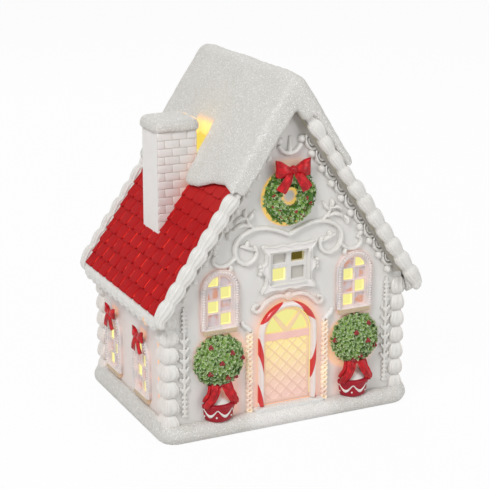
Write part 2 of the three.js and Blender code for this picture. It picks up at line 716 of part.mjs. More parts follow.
function doorPanel() {
  const half = DOOR_HALF_WIDTH - CLEARANCE;
  const foot = DOOR_STEP_Z + CLEARANCE;
  const back = 0.6 - WALL_THICKNESS;
  const face = back + DOOR_THICKNESS - 1;
  const whole = arch(half, foot, DOOR_SPRING_Z, 0, 10);
  const inside = half - DOOR_RIM;
  const fan = fanlightPanes(inside);
  const leaf = rectangle(-inside, inside, foot + DOOR_RIM, TRANSOM_BOTTOM_Z);
  const run = TRANSOM_BOTTOM_Z - foot;
  const bars = [];
  for (const lean of [-1, 1]) {
    for (let k = -7; k <= 7; k++) {
      const [x0, x1] = [k * LATTICE_PITCH - LATTICE_BAR / 2, k * LATTICE_PITCH + LATTICE_BAR / 2];
      const bar = [[x0, foot], [x1, foot], [x1 + lean * run, foot + run], [x0 + lean * run, foot + run]];
      bars.push(relief(bar, face - 0.2, face + 0.8));
    }
  }
  const lattice = join(bars).intersect(relief(leaf, -10, 10));
  return join(relief(whole, back, face, fan), relief(whole, face - 0.2, face + 1.4, [leaf, ...fan]), lattice);
}

// Three panes over the transom, parted by two bars that spread from its middle.
function fanlightPanes(radius) {
  const floor = TRANSOM_TOP_Z + 0.8;
  const rim = (x) => DOOR_SPRING_Z + Math.sqrt(Math.max(radius * radius - x * x, 0));
  const middle = [[0, floor + 3]];
  for (let x = -9; x <= 9; x += 4.5) middle.push([-x, rim(x)]);
  const side = [[2.6, floor], [radius, floor], [radius, DOOR_SPRING_Z + 1]];
  for (const x of [15.5, 14, 12.4, 11]) side.push([x, rim(x) - 0.2]);
  return [middle, side, mirrored(side)];
}

function candyArch() {
  const radius = DOOR_HALF_WIDTH + CANDY_WIDTH / 2;
  const posts = [DOOR_STEP_Z, DOOR_STEP_Z + 17, DOOR_STEP_Z + 34];
  const path = posts.map((z) => [-radius, z]);
  for (let i = 0; i <= 14; i++) {
    const angle = Math.PI * (1 - i / 14);
    path.push([radius * Math.cos(angle), DOOR_SPRING_Z + radius * Math.sin(angle)]);
  }
  path.push(...posts.reverse().map((z) => [radius, z]));
  return piping(path, (CANDY_WIDTH - CLEARANCE) / 2, CANDY_HEIGHT);
}

// A twisted icing rope with a curled leaf at its head, on the right of the door.
function ropeColumn() {
  const turns = 11;
  const path = [];
  for (let i = 0; i <= 2 * turns; i++) {
    path.push([COLUMN_X, BASE_FRONT_TOP_Z + ((COLUMN_TOP_Z - BASE_FRONT_TOP_Z) * i) / (2 * turns)]);
  }
  const bulge = (t) => (Math.round(t * 2 * turns) % 2 ? 1 : 0.78);
  const leaf = curve([[30, 73], [31.6, 75], [34.4, 77.4], [35.6, 80.6]], 4);
  return join(piping(path, COLUMN_HALF_WIDTH, 2.6, bulge), piping(leaf, 1.7, 2.2, (t) => 1 - 0.45 * t));
}

function doorPediment() {
  const sweep = [[0, 92.4], [4, 95], [10, 95.2], [16, 92.8], [20, 89], [22.4, 86.4]];
  const curl = [[22.4, 86.4], [25.4, 85.8], [27.4, 88.2], [26, 91], [23.2, 90.8]];
  const parts = [lump(0, 94.4, 3, 3.6, 3)];
  for (const turn of [(p) => p, mirrored]) {
    parts.push(piping(turn(curve(sweep, 7)), 1.5, 2.4));
    parts.push(piping(turn(curve(curl, 6)), 1.5, 2.4, (t) => 1 - 0.3 * t));
  }
  return join(parts);
}

function doorStep() {
  const half = DOOR_STEP_HALF_WIDTH;
  return block(-half, half, FRONT_Y - DOOR_STEP_DEPTH, FRONT_Y, BASE_FRONT_TOP_Z, DOOR_STEP_Z - CLEARANCE);
}

// Windows

// An arched window with two columns of panes. Every second pane is pierced, the others are sunk.
function archedWindow(x, drop, firstPierced) {
  const opening = WINDOW_OPENING_HALF_WIDTH;
  const [sill, spring] = [WINDOW_SILL_Z - drop, WINDOW_SPRING_Z - drop];
  const outer = arch(WINDOW_HALF_WIDTH, sill, spring, x);
  const inner = arch(opening + 0.4, sill + 1.2, spring, x);
  const insert = arch(opening - CLEARANCE, sill + CLEARANCE, spring, x);
  const sillBar = relief(rectangle(x - 12.6, x + 12.6, sill - 3.4, sill + 0.4), 0, 3);
  let window = join(relief(outer, 0, 1.2), relief(outer, 1, 2.6, [inner]), relief(insert, -3, 0.2), sillBar);
  const paneRoom = relief(arch(opening - 1.2, sill, spring, x), -10, 10);
  for (let row = 0; row < 4; row++) {
    for (const column of [0, 1]) {
      const pierced = (row + column) % 2 === firstPierced;
      const x0 = x + (column - 0.5) * PANE_PITCH - PANE_WIDTH / 2;
      const z0 = sill + 2.6 + row * PANE_PITCH;
      const pane = relief(rectangle(x0, x0 + PANE_WIDTH, z0, z0 + PANE_HEIGHT), pierced ? -10 : -0.6, 10);
      window = window.subtract(pane.intersect(paneRoom));
    }
  }
  return window;
}

// The attic window: four panes in a bracketed frame with horned corners.
function atticWindow() {
  const half = [
    [0, 131.4], [5, 132.8], [12, 131.8], [21.6, 134], [20.4, 130.6], [17.8, 128],
    [17.8, 119.4], [21.6, 117.6], [21.6, 114.6], [17.8, 112.8],
    [17.8, 104.4], [20.4, 101.6], [21.6, 98.4], [12, 100.4], [5, 99.4], [0, 100.8],
  ];
  const outer = [...half, ...mirrored(half).reverse().slice(1, -1)];
  const { halfWidth, bottom, top } = atticOpening();
  const insert = rectangle(CLEARANCE - halfWidth, halfWidth - CLEARANCE, bottom + CLEARANCE, top - CLEARANCE);
  const rim = ATTIC_HALF_WIDTH - 1.5;
  const inner = rectangle(-rim, rim, ATTIC_BOTTOM_Z + 1.2, ATTIC_TOP_Z - 1.2);
  let window = join(relief(outer, 0, 1.2), relief(outer, 1, 2.6, [inner]), relief(insert, -3, 0.2));
  const panes = [
    [-12.4, -2, 106.6, 115.8, true],
    [2, 12.4, 106.6, 115.8, false],
    [-12.4, -2, 119.4, 126, false],
    [2, 12.4, 119.4, 126, true],
  ];
  for (const [x0, x1, z0, z1, pierced] of panes) {
    window = window.subtract(relief(rectangle(x0, x1, z0, z1), pierced ? -10 : -0.8, 10));
  }
  return window;
}

// Gable icing

// A heart-shaped scroll whose ends wind inwards, with a tendril, a stem and leaves on each side.
// Each line has its points, its steps, its half width and height, and how far it tapers. A line that
// tapers by half is a leaf.
function gableScroll() {
  const lines = [
    [[[0, 139], [10, 143.8], [22, 146.4], [33, 144.4], [40.4, 138.6], [41.6, 131], [38.6, 124.8]], 11, 1.5, 2.6, 0],
    [[[38.6, 124.8], [32.8, 121.8], [27, 124.2], [24.6, 129.6], [26.6, 134]], 8, 1.5, 2.6, 0.3],
    [[[24.8, 131], [30, 132], [37.4, 135.2]], 2, 1.3, 2.2, 0.5],
    [[[40.6, 128.4], [45, 124.4], [51, 122.4], [56.6, 124.4], [58, 129], [54.6, 131.6]], 9, 1.3, 2.4, 0.25],
    [[[26, 146.2], [31, 150.6], [33, 155.4], [33.4, 161]], 3, 1, 2, 0.4],
    [[[32.4, 153], [28.4, 156], [26.4, 160]], 2, 1.2, 2.2, 0.5],
    [[[33, 155], [38, 154.4], [41.6, 151.4]], 2, 1.2, 2.2, 0.5],
    [[[30, 149], [36, 149.4], [42.4, 147.4], [45.6, 142.4]], 4, 1.2, 2.2, 0.5],
  ];
  const parts = [];
  for (const turn of [(p) => p, mirrored]) {
    for (const [points, steps, halfWidth, height, taper] of lines) {
      const section = taper < 0.5 ? BEAD : SHARP_BEAD;
      parts.push(piping(turn(curve(points, steps)), halfWidth, height, (t) => 1 - taper * t, section));
    }
  }
  return join(parts);
}

function gableFleur() {
  const smile = curve([[-8.6, 203], [-5, 198.6], [0, 197], [5, 198.6], [8.6, 203]], 8);
  const stem = [[0, 196.6], [0, 202], [0, 209]];
  return join(piping(smile, 1.5, 2.4), piping(stem, 2, 2.6, (t) => 1 - 0.7 * t));
}

// Wreath and ribbons

function wreathBody(grow) {
  const tube = new THREE.TorusGeometry(WREATH_RADIUS, WREATH_TUBE_RADIUS + grow, 8, 20);
  return solid(onFront(tube.translate(0, WREATH_Z, 0))).subtract(behindFrontWall());
}

// A bow of two loops, two tails and a knot round (0, 0), from one height over the wall to another.
function bowBody(size, tailDrop, low, high) {
  const loop = [[0, 0.5], [8, 6.4], [11.6, 6.2], [12.8, 1], [12.4, -5], [7, -5.2], [0, -1.6]];
  const tail = [[0.4, -1], [3.6, -1.6], [8.4, -7], [13.4, 3 - tailDrop], [6.6, 0.6 - tailDrop], [3.6, -8]];
  const depth = high - low;
  const parts = [];
  for (const side of [-size, size]) {
    const drawn = (points) => points.map(([x, z]) => [x * side, z * size]);
    parts.push(solid(plate(drawn(loop), depth).translate(0, 0, low)));
    parts.push(solid(plate(drawn(tail), depth * 0.7).translate(0, 0, low)));
  }
  const knot = new THREE.SphereGeometry(1, 8, 4).scale(3.2 * size, 3 * size, depth * 0.6);
  parts.push(solid(knot.translate(0, 0, high - depth * 0.4)));
  return join(parts);
}

function wreathBow() {
  const bow = bowBody(0.98, 17, 2.6, 10.4).translate([0, WREATH_BOW_Z, 0]);
  return solid(onFront(geometryOf(bow))).subtract(wreathBody(CLEARANCE));
}

function sideBow(x) {
  const bow = bowBody(0.66, 19, 2.9, 6.8).translate([x, SIDE_BOW_Z, 0]);
  return solid(onFront(geometryOf(bow)));
}

// Topiaries, made on the right of the door

function ballBody(grow) {
  const ball = new THREE.SphereGeometry(1, 16, 10);
  ball.scale(BALL_RADIUS + grow, BALL_RADIUS + grow, BALL_DEPTH + grow);
  return solid(onFront(ball.translate(TOPIARY_X, BALL_Z, 0))).subtract(behindFrontWall());
}

function potBody(grow) {
  const profile = [
    [0, BASE_FRONT_TOP_Z],
    [9.6 + grow, BASE_FRONT_TOP_Z],
    [10.8 + grow, 15],
    [11.6 + grow, 20.4],
    [POT_RADIUS + grow, 21.6],
    [POT_RADIUS + grow, POT_TOP_Z + grow],
    [8.6 + grow, POT_TOP_Z + grow],
    [0, POT_TOP_Z + 8.6 + 2 * grow],
  ];
  const turned = new THREE.LatheGeometry(profile.map(([r, z]) => new THREE.Vector2(r, z)), 16);
  turned.rotateX(Math.PI / 2).scale(1, POT_DEPTH_SHARE, 1).translate(TOPIARY_X, FRONT_Y, 0);
  return solid(turned).subtract(behindFrontWall());
}

function topiaryBow() {
  const half = [[0, 39], [8.2, 39], [8.4, 31.4], [12.2, 25.6], [11.8, 22.2], [8, 24.8], [4, 28.6], [0, 32.4]];
  const outline = [...half, ...mirrored(half).reverse().slice(1, -1)].map(([x, z]) => [TOPIARY_X + x, z]);
  return relief(outline, 0, 8.4).subtract(ballBody(CLEARANCE)).subtract(potBody(CLEARANCE));
}

// Chimney

function chimneyStack() {
  const shaft = chimneyRoom(0).intersect(block(-200, 0, -100, 100, 0, CHIMNEY_TOP_Z));
  return shaft.subtract(belowSlope(-CHIMNEY_SINK - TILE_STEP));
}

function chimneySnow() {
  const halfX = (CHIMNEY_RIGHT_X - CHIMNEY_LEFT_X) / 2 + CHIMNEY_CAP_OVERHANG;
  const halfY = (CHIMNEY_REAR_Y - CHIMNEY_FRONT_Y) / 2 + CHIMNEY_CAP_OVERHANG;
  const levels = [[1.2, 0], [0, 1.6], [0, 5], [1.6, 7.6], [5, CHIMNEY_CAP_HEIGHT]];
  const rings = levels.map(([inset, up]) =>
    roundedRectangle(halfX - inset, halfY - inset, 5.4 - inset, 2, CHIMNEY_TOP_Z + up),
  );
  const centreX = (CHIMNEY_LEFT_X + CHIMNEY_RIGHT_X) / 2;
  const centreY = (CHIMNEY_FRONT_Y + CHIMNEY_REAR_Y) / 2;
  for (const point of rings.flat()) point.add(new THREE.Vector3(centreX, centreY, 0));
  return loft(rings);
}

// Light unit

function bottomCover() {
  const [outX, outY] = [BAY_HALF_WIDTH + BAY_WALL, BAY_HALF_DEPTH + BAY_WALL];
  const [halfX, halfY] = [COVER_HALF_WIDTH, COVER_HALF_DEPTH];
  const sheet = block(-halfX, halfX, -halfY, halfY, COVER_BOTTOM_Z, COVER_TOP_Z);
  const bay = block(-outX, outX, -outY, outY, COVER_TOP_Z - 0.5, BAY_TOP_Z);
  const bayRoom = block(-BAY_HALF_WIDTH, BAY_HALF_WIDTH, -BAY_HALF_DEPTH, BAY_HALF_DEPTH, -5, BAY_ROOF_Z);
  const doorX = BATTERY_DOOR_HALF_WIDTH + CLEARANCE;
  const doorFrontY = HINGE_Y - DOOR_HINGE_RADIUS - CLEARANCE;
  const doorRoom = block(-doorX, doorX, doorFrontY, BATTERY_DOOR_END_Y + CLEARANCE, -5, COVER_TOP_Z);
  const thumb = rod(6, 3, "z", 0, BATTERY_DOOR_END_Y + 1.5, -0.6, 16);
  const pinRoom = BATTERY_DOOR_HALF_WIDTH + HINGE_PIN_LENGTH + CLEARANCE;
  const pins = rod(HINGE_PIN_RADIUS + CLEARANCE, 2 * pinRoom, "x", -pinRoom, HINGE_Y, HINGE_Z, 10);
  const slotX = SWITCH_KNOB / 2 + CLEARANCE;
  const slotY0 = -SWITCH_KNOB / 2 - CLEARANCE;
  const slotY1 = SWITCH_KNOB / 2 + SWITCH_TRAVEL + CLEARANCE;
  const slot = block(SWITCH_X - slotX, SWITCH_X + slotX, slotY0, slotY1, -5, COVER_TOP_Z + 1);
  let cover = join(sheet, bay, switchGuide()).subtract(bayRoom).subtract(doorRoom).subtract(thumb);
  cover = cover.subtract(pins).subtract(slot);
  const headRoom = COVER_BOTTOM_Z + SCREW_HEAD_HEIGHT + CLEARANCE;
  for (const x of SCREW_PLACES) {
    cover = cover.subtract(screwHole(x));
    cover = cover.subtract(rod(SCREW_HEAD_RADIUS + CLEARANCE, headRoom + 2, "z", x, 0, -2));
  }
  return cover;
}

// A bridge over the switch slot, which keeps the slider's flange down.
function switchGuide() {
  const halfX = SWITCH_FLANGE.halfWidth + CLEARANCE;
  const mid = SWITCH_TRAVEL / 2;
  const roomTop = COVER_TOP_Z + SWITCH_FLANGE.thickness + 2 * CLEARANCE;
  const outer = block(SWITCH_X - halfX - 2, SWITCH_X + halfX + 2, mid - 5, mid + 5, COVER_TOP_Z - 0.5, roomTop + 2);
  return outer.subtract(block(SWITCH_X - halfX, SWITCH_X + halfX, mid - 20, mid + 20, COVER_TOP_Z, roomTop));
}

function switchSlider() {
  const { halfWidth, halfLength, thickness } = SWITCH_FLANGE;
  const half = SWITCH_KNOB / 2;
  const low = COVER_TOP_Z + CLEARANCE;
  const flange = block(SWITCH_X - halfWidth, SWITCH_X + halfWidth, -halfLength, halfLength, low, low + thickness);
  let knob = block(SWITCH_X - half, SWITCH_X + half, -half, half, COVER_BOTTOM_Z - 0.4, low + 0.2);
  for (const y of [-1.2, 0, 1.2]) {
    knob = knob.subtract(block(SWITCH_X - half - 1, SWITCH_X + half + 1, y - 0.3, y + 0.3, -3, COVER_BOTTOM_Z));
  }
  return join(flange, knob);
}

function batteryDoor() {
  const [low, high] = [HINGE_Z - DOOR_HINGE_RADIUS, HINGE_Z + DOOR_HINGE_RADIUS];
  const halfX = BATTERY_DOOR_HALF_WIDTH;
  const leaf = block(-halfX, halfX, HINGE_Y, BATTERY_DOOR_END_Y, low, high);
  const edge = rod(DOOR_HINGE_RADIUS, 2 * halfX, "x", -halfX, HINGE_Y, HINGE_Z);
  const reach = halfX + HINGE_PIN_LENGTH;
  let door = join(leaf, edge, rod(HINGE_PIN_RADIUS, 2 * reach, "x", -reach, HINGE_Y, HINGE_Z, 8));
  for (const y of [14, 17, 20]) door = door.subtract(block(-7, 7, y - 0.5, y + 0.5, low - 1, low + 0.6));
  return door;
}

function cellX(column) {
  return (column - 1) * (2 * CELL_RADIUS + CELL_GAP);
}

function cell(column) {
  const profile = [
    [0, 0], [CELL_RADIUS, 0], [CELL_RADIUS, CELL_LENGTH - 1.3],
    [2.7, CELL_LENGTH - 1.3], [2.7, CELL_LENGTH], [0, CELL_LENGTH],
  ];
  const turned = new THREE.LatheGeometry(profile.map(([r, y]) => new THREE.Vector2(r, y - CELL_LENGTH / 2)), 12);
  if (column % 2) turned.rotateZ(Math.PI);
  return solid(turned.translate(cellX(column), 0, CELL_Z));
}

// A contact strip on the bay's front or rear wall, with a raised button for each cell.
function contactStrip(side) {
  const wallY = side * BAY_HALF_DEPTH;
  const thick = 0.5;
  const halfX = BAY_HALF_WIDTH - 1;
  const y0 = Math.min(wallY, wallY - side * thick);
  const parts = [block(-halfX, halfX, y0, y0 + thick, CELL_Z - 5, CELL_Z + 5)];
  const reach = CONTACT_ROOM / 2 - thick - CLEARANCE + 0.2;
  for (let column = 0; column < 3; column++) {
    const button = new THREE.CylinderGeometry(2, 4.4, reach, 8).translate(0, reach / 2, 0);
    if (side > 0) button.rotateZ(Math.PI);
    parts.push(solid(button.translate(cellX(column), wallY - side * (thick - 0.2), CELL_Z)));
  }
  return join(parts);
}

function coverScrew(x) {
  const head = rod(SCREW_HEAD_RADIUS, SCREW_HEAD_HEIGHT, "z", x, 0, COVER_BOTTOM_Z);
  const shankZ = COVER_BOTTOM_Z + SCREW_HEAD_HEIGHT - 0.2;
  const shank = rod(SCREW_SHANK_RADIUS, SCREW_SHANK_LENGTH + 0.2, "z", x, 0, shankZ, 8);
  const slot = block(x - 2.2, x + 2.2, -0.4, 0.4, COVER_BOTTOM_Z - 1, COVER_BOTTOM_Z + 0.7);
  return join(head, shank).subtract(slot);
}

function lampBulb() {
  const shoulder = LAMP_HEIGHT - LAMP_RADIUS;
  const profile = [[0, 0], [LAMP_RADIUS, 0], [LAMP_RADIUS, shoulder]];
  for (let i = 1; i < 4; i++) {
    const angle = (Math.PI * i) / 8;
    profile.push([LAMP_RADIUS * Math.cos(angle), shoulder + LAMP_RADIUS * Math.sin(angle)]);
  }
  profile.push([0, LAMP_HEIGHT]);
  const turned = new THREE.LatheGeometry(profile.map(([r, y]) => new THREE.Vector2(r, y)), 12);
  return solid(turned.rotateX(Math.PI / 2).translate(0, 0, BAY_TOP_Z + LAMP_BOARD_THICKNESS));
}

// Assembly

const cottage = new THREE.Group();

function add(parent, name, shape, finish) {
  const [color, roughness, metalness] = FINISHES[finish];
  const material = new THREE.MeshStandardMaterial({ color, roughness, metalness });
  const mesh = new THREE.Mesh(geometryOf(shape), material);
  mesh.name = name;
  parent.add(mesh);
}

function place(parent, turn, x, mirror) {
  const group = new THREE.Group();
  group.rotation.z = turn;
  group.position.x = x;
  group.scale.x = mirror ? -1 : 1;
  parent.add(group);
  return group;
}

const otherHand = place(cottage, 0, 0, true);
const rear = place(cottage, Math.PI, 0, false);
const rearOtherHand = place(rear, 0, 0, true);
const sideShift = WALL_HALF_WIDTH - WALL_HALF_DEPTH;

add(cottage, "snow_base", snowBase(), "snow");
add(cottage, "house_walls", houseWalls(), "porcelain");
add(cottage, "roof_left", roofLeft(), "roofRed");
add(rear, "roof_right", roofPanel(), "roofRed");
add(cottage, "snow_cap", snowCap(), "snow");

add(cottage, "rake_icing_front_left", rakeIcing(SNOW_LEFT_END - 1), "porcelain");
add(otherHand, "rake_icing_front_right", rakeIcing(SNOW_RIGHT_END - 1), "porcelain");
add(rear, "rake_icing_rear_right", rakeIcing(SNOW_LEFT_END - 1), "porcelain");
add(rearOtherHand, "rake_icing_rear_left", rakeIcing(SNOW_RIGHT_END - 1), "porcelain");
for (const [parent, side] of [[cottage, "left"], [otherHand, "right"]]) {
  add(parent, `eave_icing_${side}`, eaveIcing(), "porcelain");
  add(parent, `quoin_front_${side}`, quoin(), "porcelain");
}
add(rear, "quoin_rear_right", quoin(), "porcelain");
add(rearOtherHand, "quoin_rear_left", quoin(), "porcelain");

add(cottage, "door_panel", doorPanel(), "litPane");
add(cottage, "candy_arch", candyArch(), "ribbonRed");
add(cottage, "door_pediment", doorPediment(), "porcelain");
add(cottage, "door_step", doorStep(), "snow");
add(cottage, "attic_window", atticWindow(), "porcelain");
add(cottage, "gable_scroll", gableScroll(), "porcelain");
add(cottage, "gable_fleur", gableFleur(), "porcelain");
add(cottage, "wreath", wreathBody(0), "leafGreen");
add(cottage, "wreath_bow", wreathBow(), "ribbonRed");

// What stands on both sides of the door is made on the right and mirrored to the left.
for (const [parent, side] of [[cottage, "right"], [otherHand, "left"]]) {
  add(parent, `drip_trim_${side}`, dripTrim(), "porcelain");
  add(parent, `pilaster_${side}`, pilaster(), "porcelain");
  add(parent, `rope_column_${side}`, ropeColumn(), "porcelain");
  add(parent, `front_window_${side}`, archedWindow(FRONT_WINDOW_X, 0, 0), "porcelain");
  add(parent, `topiary_ball_${side}`, ballBody(0), "leafGreen");
  add(parent, `topiary_pot_${side}`, potBody(0), "ribbonRed");
  add(parent, `topiary_bow_${side}`, topiaryBow(), "ribbonRed");
}

// The side windows are made on the front wall and turned onto the side walls.
for (const [side, turn] of [["left", -1], ["right", 1]]) {
  const wall = place(cottage, (turn * Math.PI) / 2, turn * sideShift, false);
  const windows = [["front", SIDE_WINDOW_FRONT_Y, turn < 0 ? 1 : 0], ["rear", SIDE_WINDOW_REAR_Y, turn < 0 ? 0 : 1]];
  for (const [end, y, firstPierced] of windows) {
    add(wall, `side_window_${side}_${end}`, archedWindow(turn * y, SIDE_WINDOW_DROP, firstPierced), "porcelain");
    add(wall, `side_bow_${side}_${end}`, sideBow(turn * y), "ribbonRed");
  }
}

add(cottage, "chimney_stack", chimneyStack(), "porcelain");
add(cottage, "chimney_snow", chimneySnow(), "snow");

add(cottage, "bottom_cover", bottomCover(), "plastic");
add(cottage, "battery_door", batteryDoor(), "plastic");
for (let column = 0; column < 3; column++) add(cottage, `cell_${column + 1}`, cell(column), "cell");
add(cottage, "contact_strip_front", contactStrip(-1), "steel");
add(cottage, "contact_strip_rear", contactStrip(1), "steel");
add(cottage, "switch_slider", switchSlider(), "plastic");
add(cottage, "cover_screw_left", coverScrew(SCREW_PLACES[0]), "steel");
add(cottage, "cover_screw_right", coverScrew(SCREW_PLACES[1]), "steel");
add(cottage, "lamp_board", rod(LAMP_BOARD_RADIUS, LAMP_BOARD_THICKNESS, "z", 0, 0, BAY_TOP_Z, 20), "board");
add(cottage, "lamp_bulb", lampBulb(), "litPane");

export default cottage;
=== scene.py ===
"""The lit porcelain cottage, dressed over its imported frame.

Lengths are in millimetres and the axes are those of the frame: +Z up, the front wall faces -Y.
"""
import math
import random

import bmesh
import bpy
from mathutils import Matrix, Vector, noise


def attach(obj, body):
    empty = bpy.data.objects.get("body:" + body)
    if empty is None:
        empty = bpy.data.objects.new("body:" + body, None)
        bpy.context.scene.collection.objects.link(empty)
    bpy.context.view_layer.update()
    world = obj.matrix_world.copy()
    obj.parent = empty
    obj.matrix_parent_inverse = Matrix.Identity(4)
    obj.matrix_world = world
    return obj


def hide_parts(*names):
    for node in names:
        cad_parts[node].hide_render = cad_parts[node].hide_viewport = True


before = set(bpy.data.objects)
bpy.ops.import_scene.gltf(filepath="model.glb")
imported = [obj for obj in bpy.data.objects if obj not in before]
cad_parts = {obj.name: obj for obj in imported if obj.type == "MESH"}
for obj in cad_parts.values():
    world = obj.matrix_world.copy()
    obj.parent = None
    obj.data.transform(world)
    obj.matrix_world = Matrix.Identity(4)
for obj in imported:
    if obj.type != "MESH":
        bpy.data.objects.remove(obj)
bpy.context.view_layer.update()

MM = 0.001

# The walls and the roof, as the frame has them
FRONT_Y = -64.0
SIDE_X = 93.0
WALL_THICKNESS = 4.0
EAVE = (-102.7, 95.3)
PITCH = math.radians(55.2)
RUN, RISE = math.cos(PITCH), math.sin(PITCH)
SLOPE_LENGTH = -EAVE[0] / RUN
ROOF_FACE = EAVE[1] * RUN - EAVE[0] * RISE
ROOF_HALF_DEPTH = 68.0
SNOW_HALF_DEPTH = 77.0

# What stands on the walls, and where
DOOR_ARCH_RADIUS = 20.8
DOOR_SPRING_Z = 67.5
WREATH_Z = 167.0
WREATH_RADIUS = 13.2
WREATH_TUBE = 6.8
TOPIARY_X = 54.0
BALL_Z = 55.2
BALL_RADIUS = 19.3
BALL_DEPTH = 12.0
WINDOW_X = 53.0
WINDOW_SPRING_Z = 106.7
SIDE_WINDOW_DROP = 56.3
SIDE_WINDOW_YS = {"front": -22.7, "rear": 32.1}
ATTIC_Z = 116.1
VENT_X, VENT_Y = -38.8, 4.6
STACK_LEFT, STACK_RIGHT, STACK_FRONT, STACK_TOP = -74.8, -44.8, -9.1, 206.6
ROPE_X = 30.0
POT_DEPTH = 0.84

GOLDEN_ANGLE = math.pi * (3 - math.sqrt(5))
chance = random.Random(24)


# Meshes

def circle(count):
    """Angles spaced evenly round a full turn."""
    return [2 * math.pi * i / count for i in range(count)]


def half_turn(count):
    """Angles from 0 to half a turn, with both ends."""
    return [math.pi * i / count for i in range(count + 1)]


def quads(rows, count, closed=True):
    """The faces between rows of points. Each row closes on itself or stays open."""
    faces = []
    for row in range(rows - 1):
        for i in range(count if closed else count - 1):
            a, b = row * count + i, row * count + (i + 1) % count
            faces.append([a, b, b + count, a + count])
    return faces


class Clay:
    """The points and faces of one piece, gathered part by part, with a number on each point."""

    def __init__(self):
        self.points = []
        self.faces = []
        self.marks = {}

    def add(self, points, faces, **marks):
        first = len(self.points)
        self.points += [tuple(p) for p in points]
        self.faces += [[first + i for i in face] for face in faces]
        for name, values in marks.items():
            column = self.marks.setdefault(name, [])
            column += [0.0] * (first - len(column))
            column += list(values) if hasattr(values, "__len__") else [values] * len(points)

    def loft(self, rings, **marks):
        """A closed body through rings that have the same number of points."""
        count = len(rings[0])
        ends = [list(range(count))[::-1], [(len(rings) - 1) * count + i for i in range(count)]]
        self.add([p for ring in rings for p in ring], ends + quads(len(rings), count), **marks)

    def piece(self, name, material, nodes=(), slot=None):
        """Makes the piece. Each mark becomes an attribute that its material can read."""
        mesh = bpy.data.meshes.new(name)
        mesh.from_pydata([(x * MM, y * MM, z * MM) for x, y, z in self.points], [], self.faces)
        for mark, values in self.marks.items():
            values = values + [0.0] * (len(self.points) - len(values))
            mesh.attributes.new(mark, "FLOAT", "POINT").data.foreach_set("value", values)
        even = bmesh.new()
        even.from_mesh(mesh)
        bmesh.ops.recalc_face_normals(even, faces=even.faces)
        even.to_mesh(mesh)
        even.free()
        settle(bpy.data.objects.new(name, mesh), material, nodes)


def settle(piece, material, nodes=()):
    """Links a finished piece, smooths its shading, gives it its material, puts it under the house's body and
    hides the frame's parts that it replaces.
    """
    if piece.name not in bpy.context.scene.collection.objects:
        bpy.context.scene.collection.objects.link(piece)
    piece.data.shade_smooth()
    piece.data.materials.clear()
    piece.data.materials.append(material)
    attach(piece, "house")
    if nodes:
        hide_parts(*nodes)


def cast(node, material, voxel, rounds, shift=None):
    """A node's solid with the rounded edges of slip-cast porcelain. shift may move its points."""
    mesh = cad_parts[node].data.copy()
    piece = bpy.data.objects.new(node + "_cast", mesh)
    bpy.context.scene.collection.objects.link(piece)
    weld = piece.modifiers.new("weld", "WELD")
    weld.merge_threshold = 0.00001
    remesh = piece.modifiers.new("remesh", "REMESH")
    remesh.mode = "VOXEL"
    remesh.voxel_size = voxel * MM
    soften = piece.modifiers.new("soften", "SMOOTH")
    soften.factor = 0.5
    soften.iterations = rounds
    graph = bpy.context.evaluated_depsgraph_get()
    done = bpy.data.meshes.new_from_object(piece.evaluated_get(graph))
    piece.modifiers.clear()
    piece.data = done
    if shift:
        normals = [vertex.normal.copy() for vertex in done.vertices]
        moved = [vertex.co + shift(vertex.co / MM, n) * MM for vertex, n in zip(done.vertices, normals)]
        done.vertices.foreach_set("co", [c for point in moved for c in point])
    settle(piece, material, [node])


def between(a, b, share):
    """The value a share of the way from a to b."""
    return a + (b - a) * share


def smooth_step(low, high, value):
    t = min(max((value - low) / (high - low), 0.0), 1.0)
    return t * t * (3 - 2 * t)


def squarer(value, power):
    """A sine or cosine pushed towards 1, so that a round section turns squarer."""
    return math.copysign(abs(value) ** power, value)


def spline(points, steps):
    """A Catmull-Rom curve through points of any dimension."""
    out = []
    ends = [points[0], *points, points[-1]]
    for k in range(len(points) - 1):
        p0, p1, p2, p3 = ends[k:k + 4]
        for i in range(steps):
            t = i / steps
            out.append(tuple(
                0.5 * (2 * b + (c - a) * t + (2 * a - 5 * b + 4 * c - d) * t * t
                       + (3 * b - a - 3 * c + d) * t ** 3)
                for a, b, c, d in zip(p0, p1, p2, p3)))
    out.append(tuple(points[-1]))
    return out


def on_front(x, z, out):
    """A point that stands out of the front wall."""
    return (x, FRONT_Y - out, z)


def on_left(y, z, out):
    return (-SIDE_X - out, y, z)


def on_right(y, z, out):
    return (SIDE_X + out, y, z)


def slope_point(u, v, n, side=-1):
    """A point on a roof slope: u up it from the eave, v along the ridge and n off its face."""
    x = EAVE[0] + u * RUN - n * RISE
    return (-side * x, v, EAVE[1] + u * RISE + n * RUN)


def sideways(path, i):
    """The direction across a path in the plane of a wall, at its point i."""
    x0, z0 = path[max(i - 1, 0)][:2]
    x1, z1 = path[min(i + 1, len(path) - 1)][:2]
    length = math.hypot(x1 - x0, z1 - z0) or 1.0
    return -(z1 - z0) / length, (x1 - x0) / length


def bead(clay, path, half_width, height, where, taper=lambda t: 1.0, sides=10):
    """A line of piped icing with a half-round section along a path in the plane of a wall."""
    rings = []
    for i, (x, z) in enumerate(path):
        nx, nz = sideways(path, i)
        t = i / (len(path) - 1)
        size = taper(t) * min(1.0, 0.35 + min(t, 1 - t) * len(path))
        ring = []
        for a in circle(sides):
            across = math.cos(a) * half_width * size
            out = max(math.sin(a), -0.15) * height * size
            ring.append(where(x + nx * across, z + nz * across, out))
        rings.append(ring)
    clay.loft(rings)


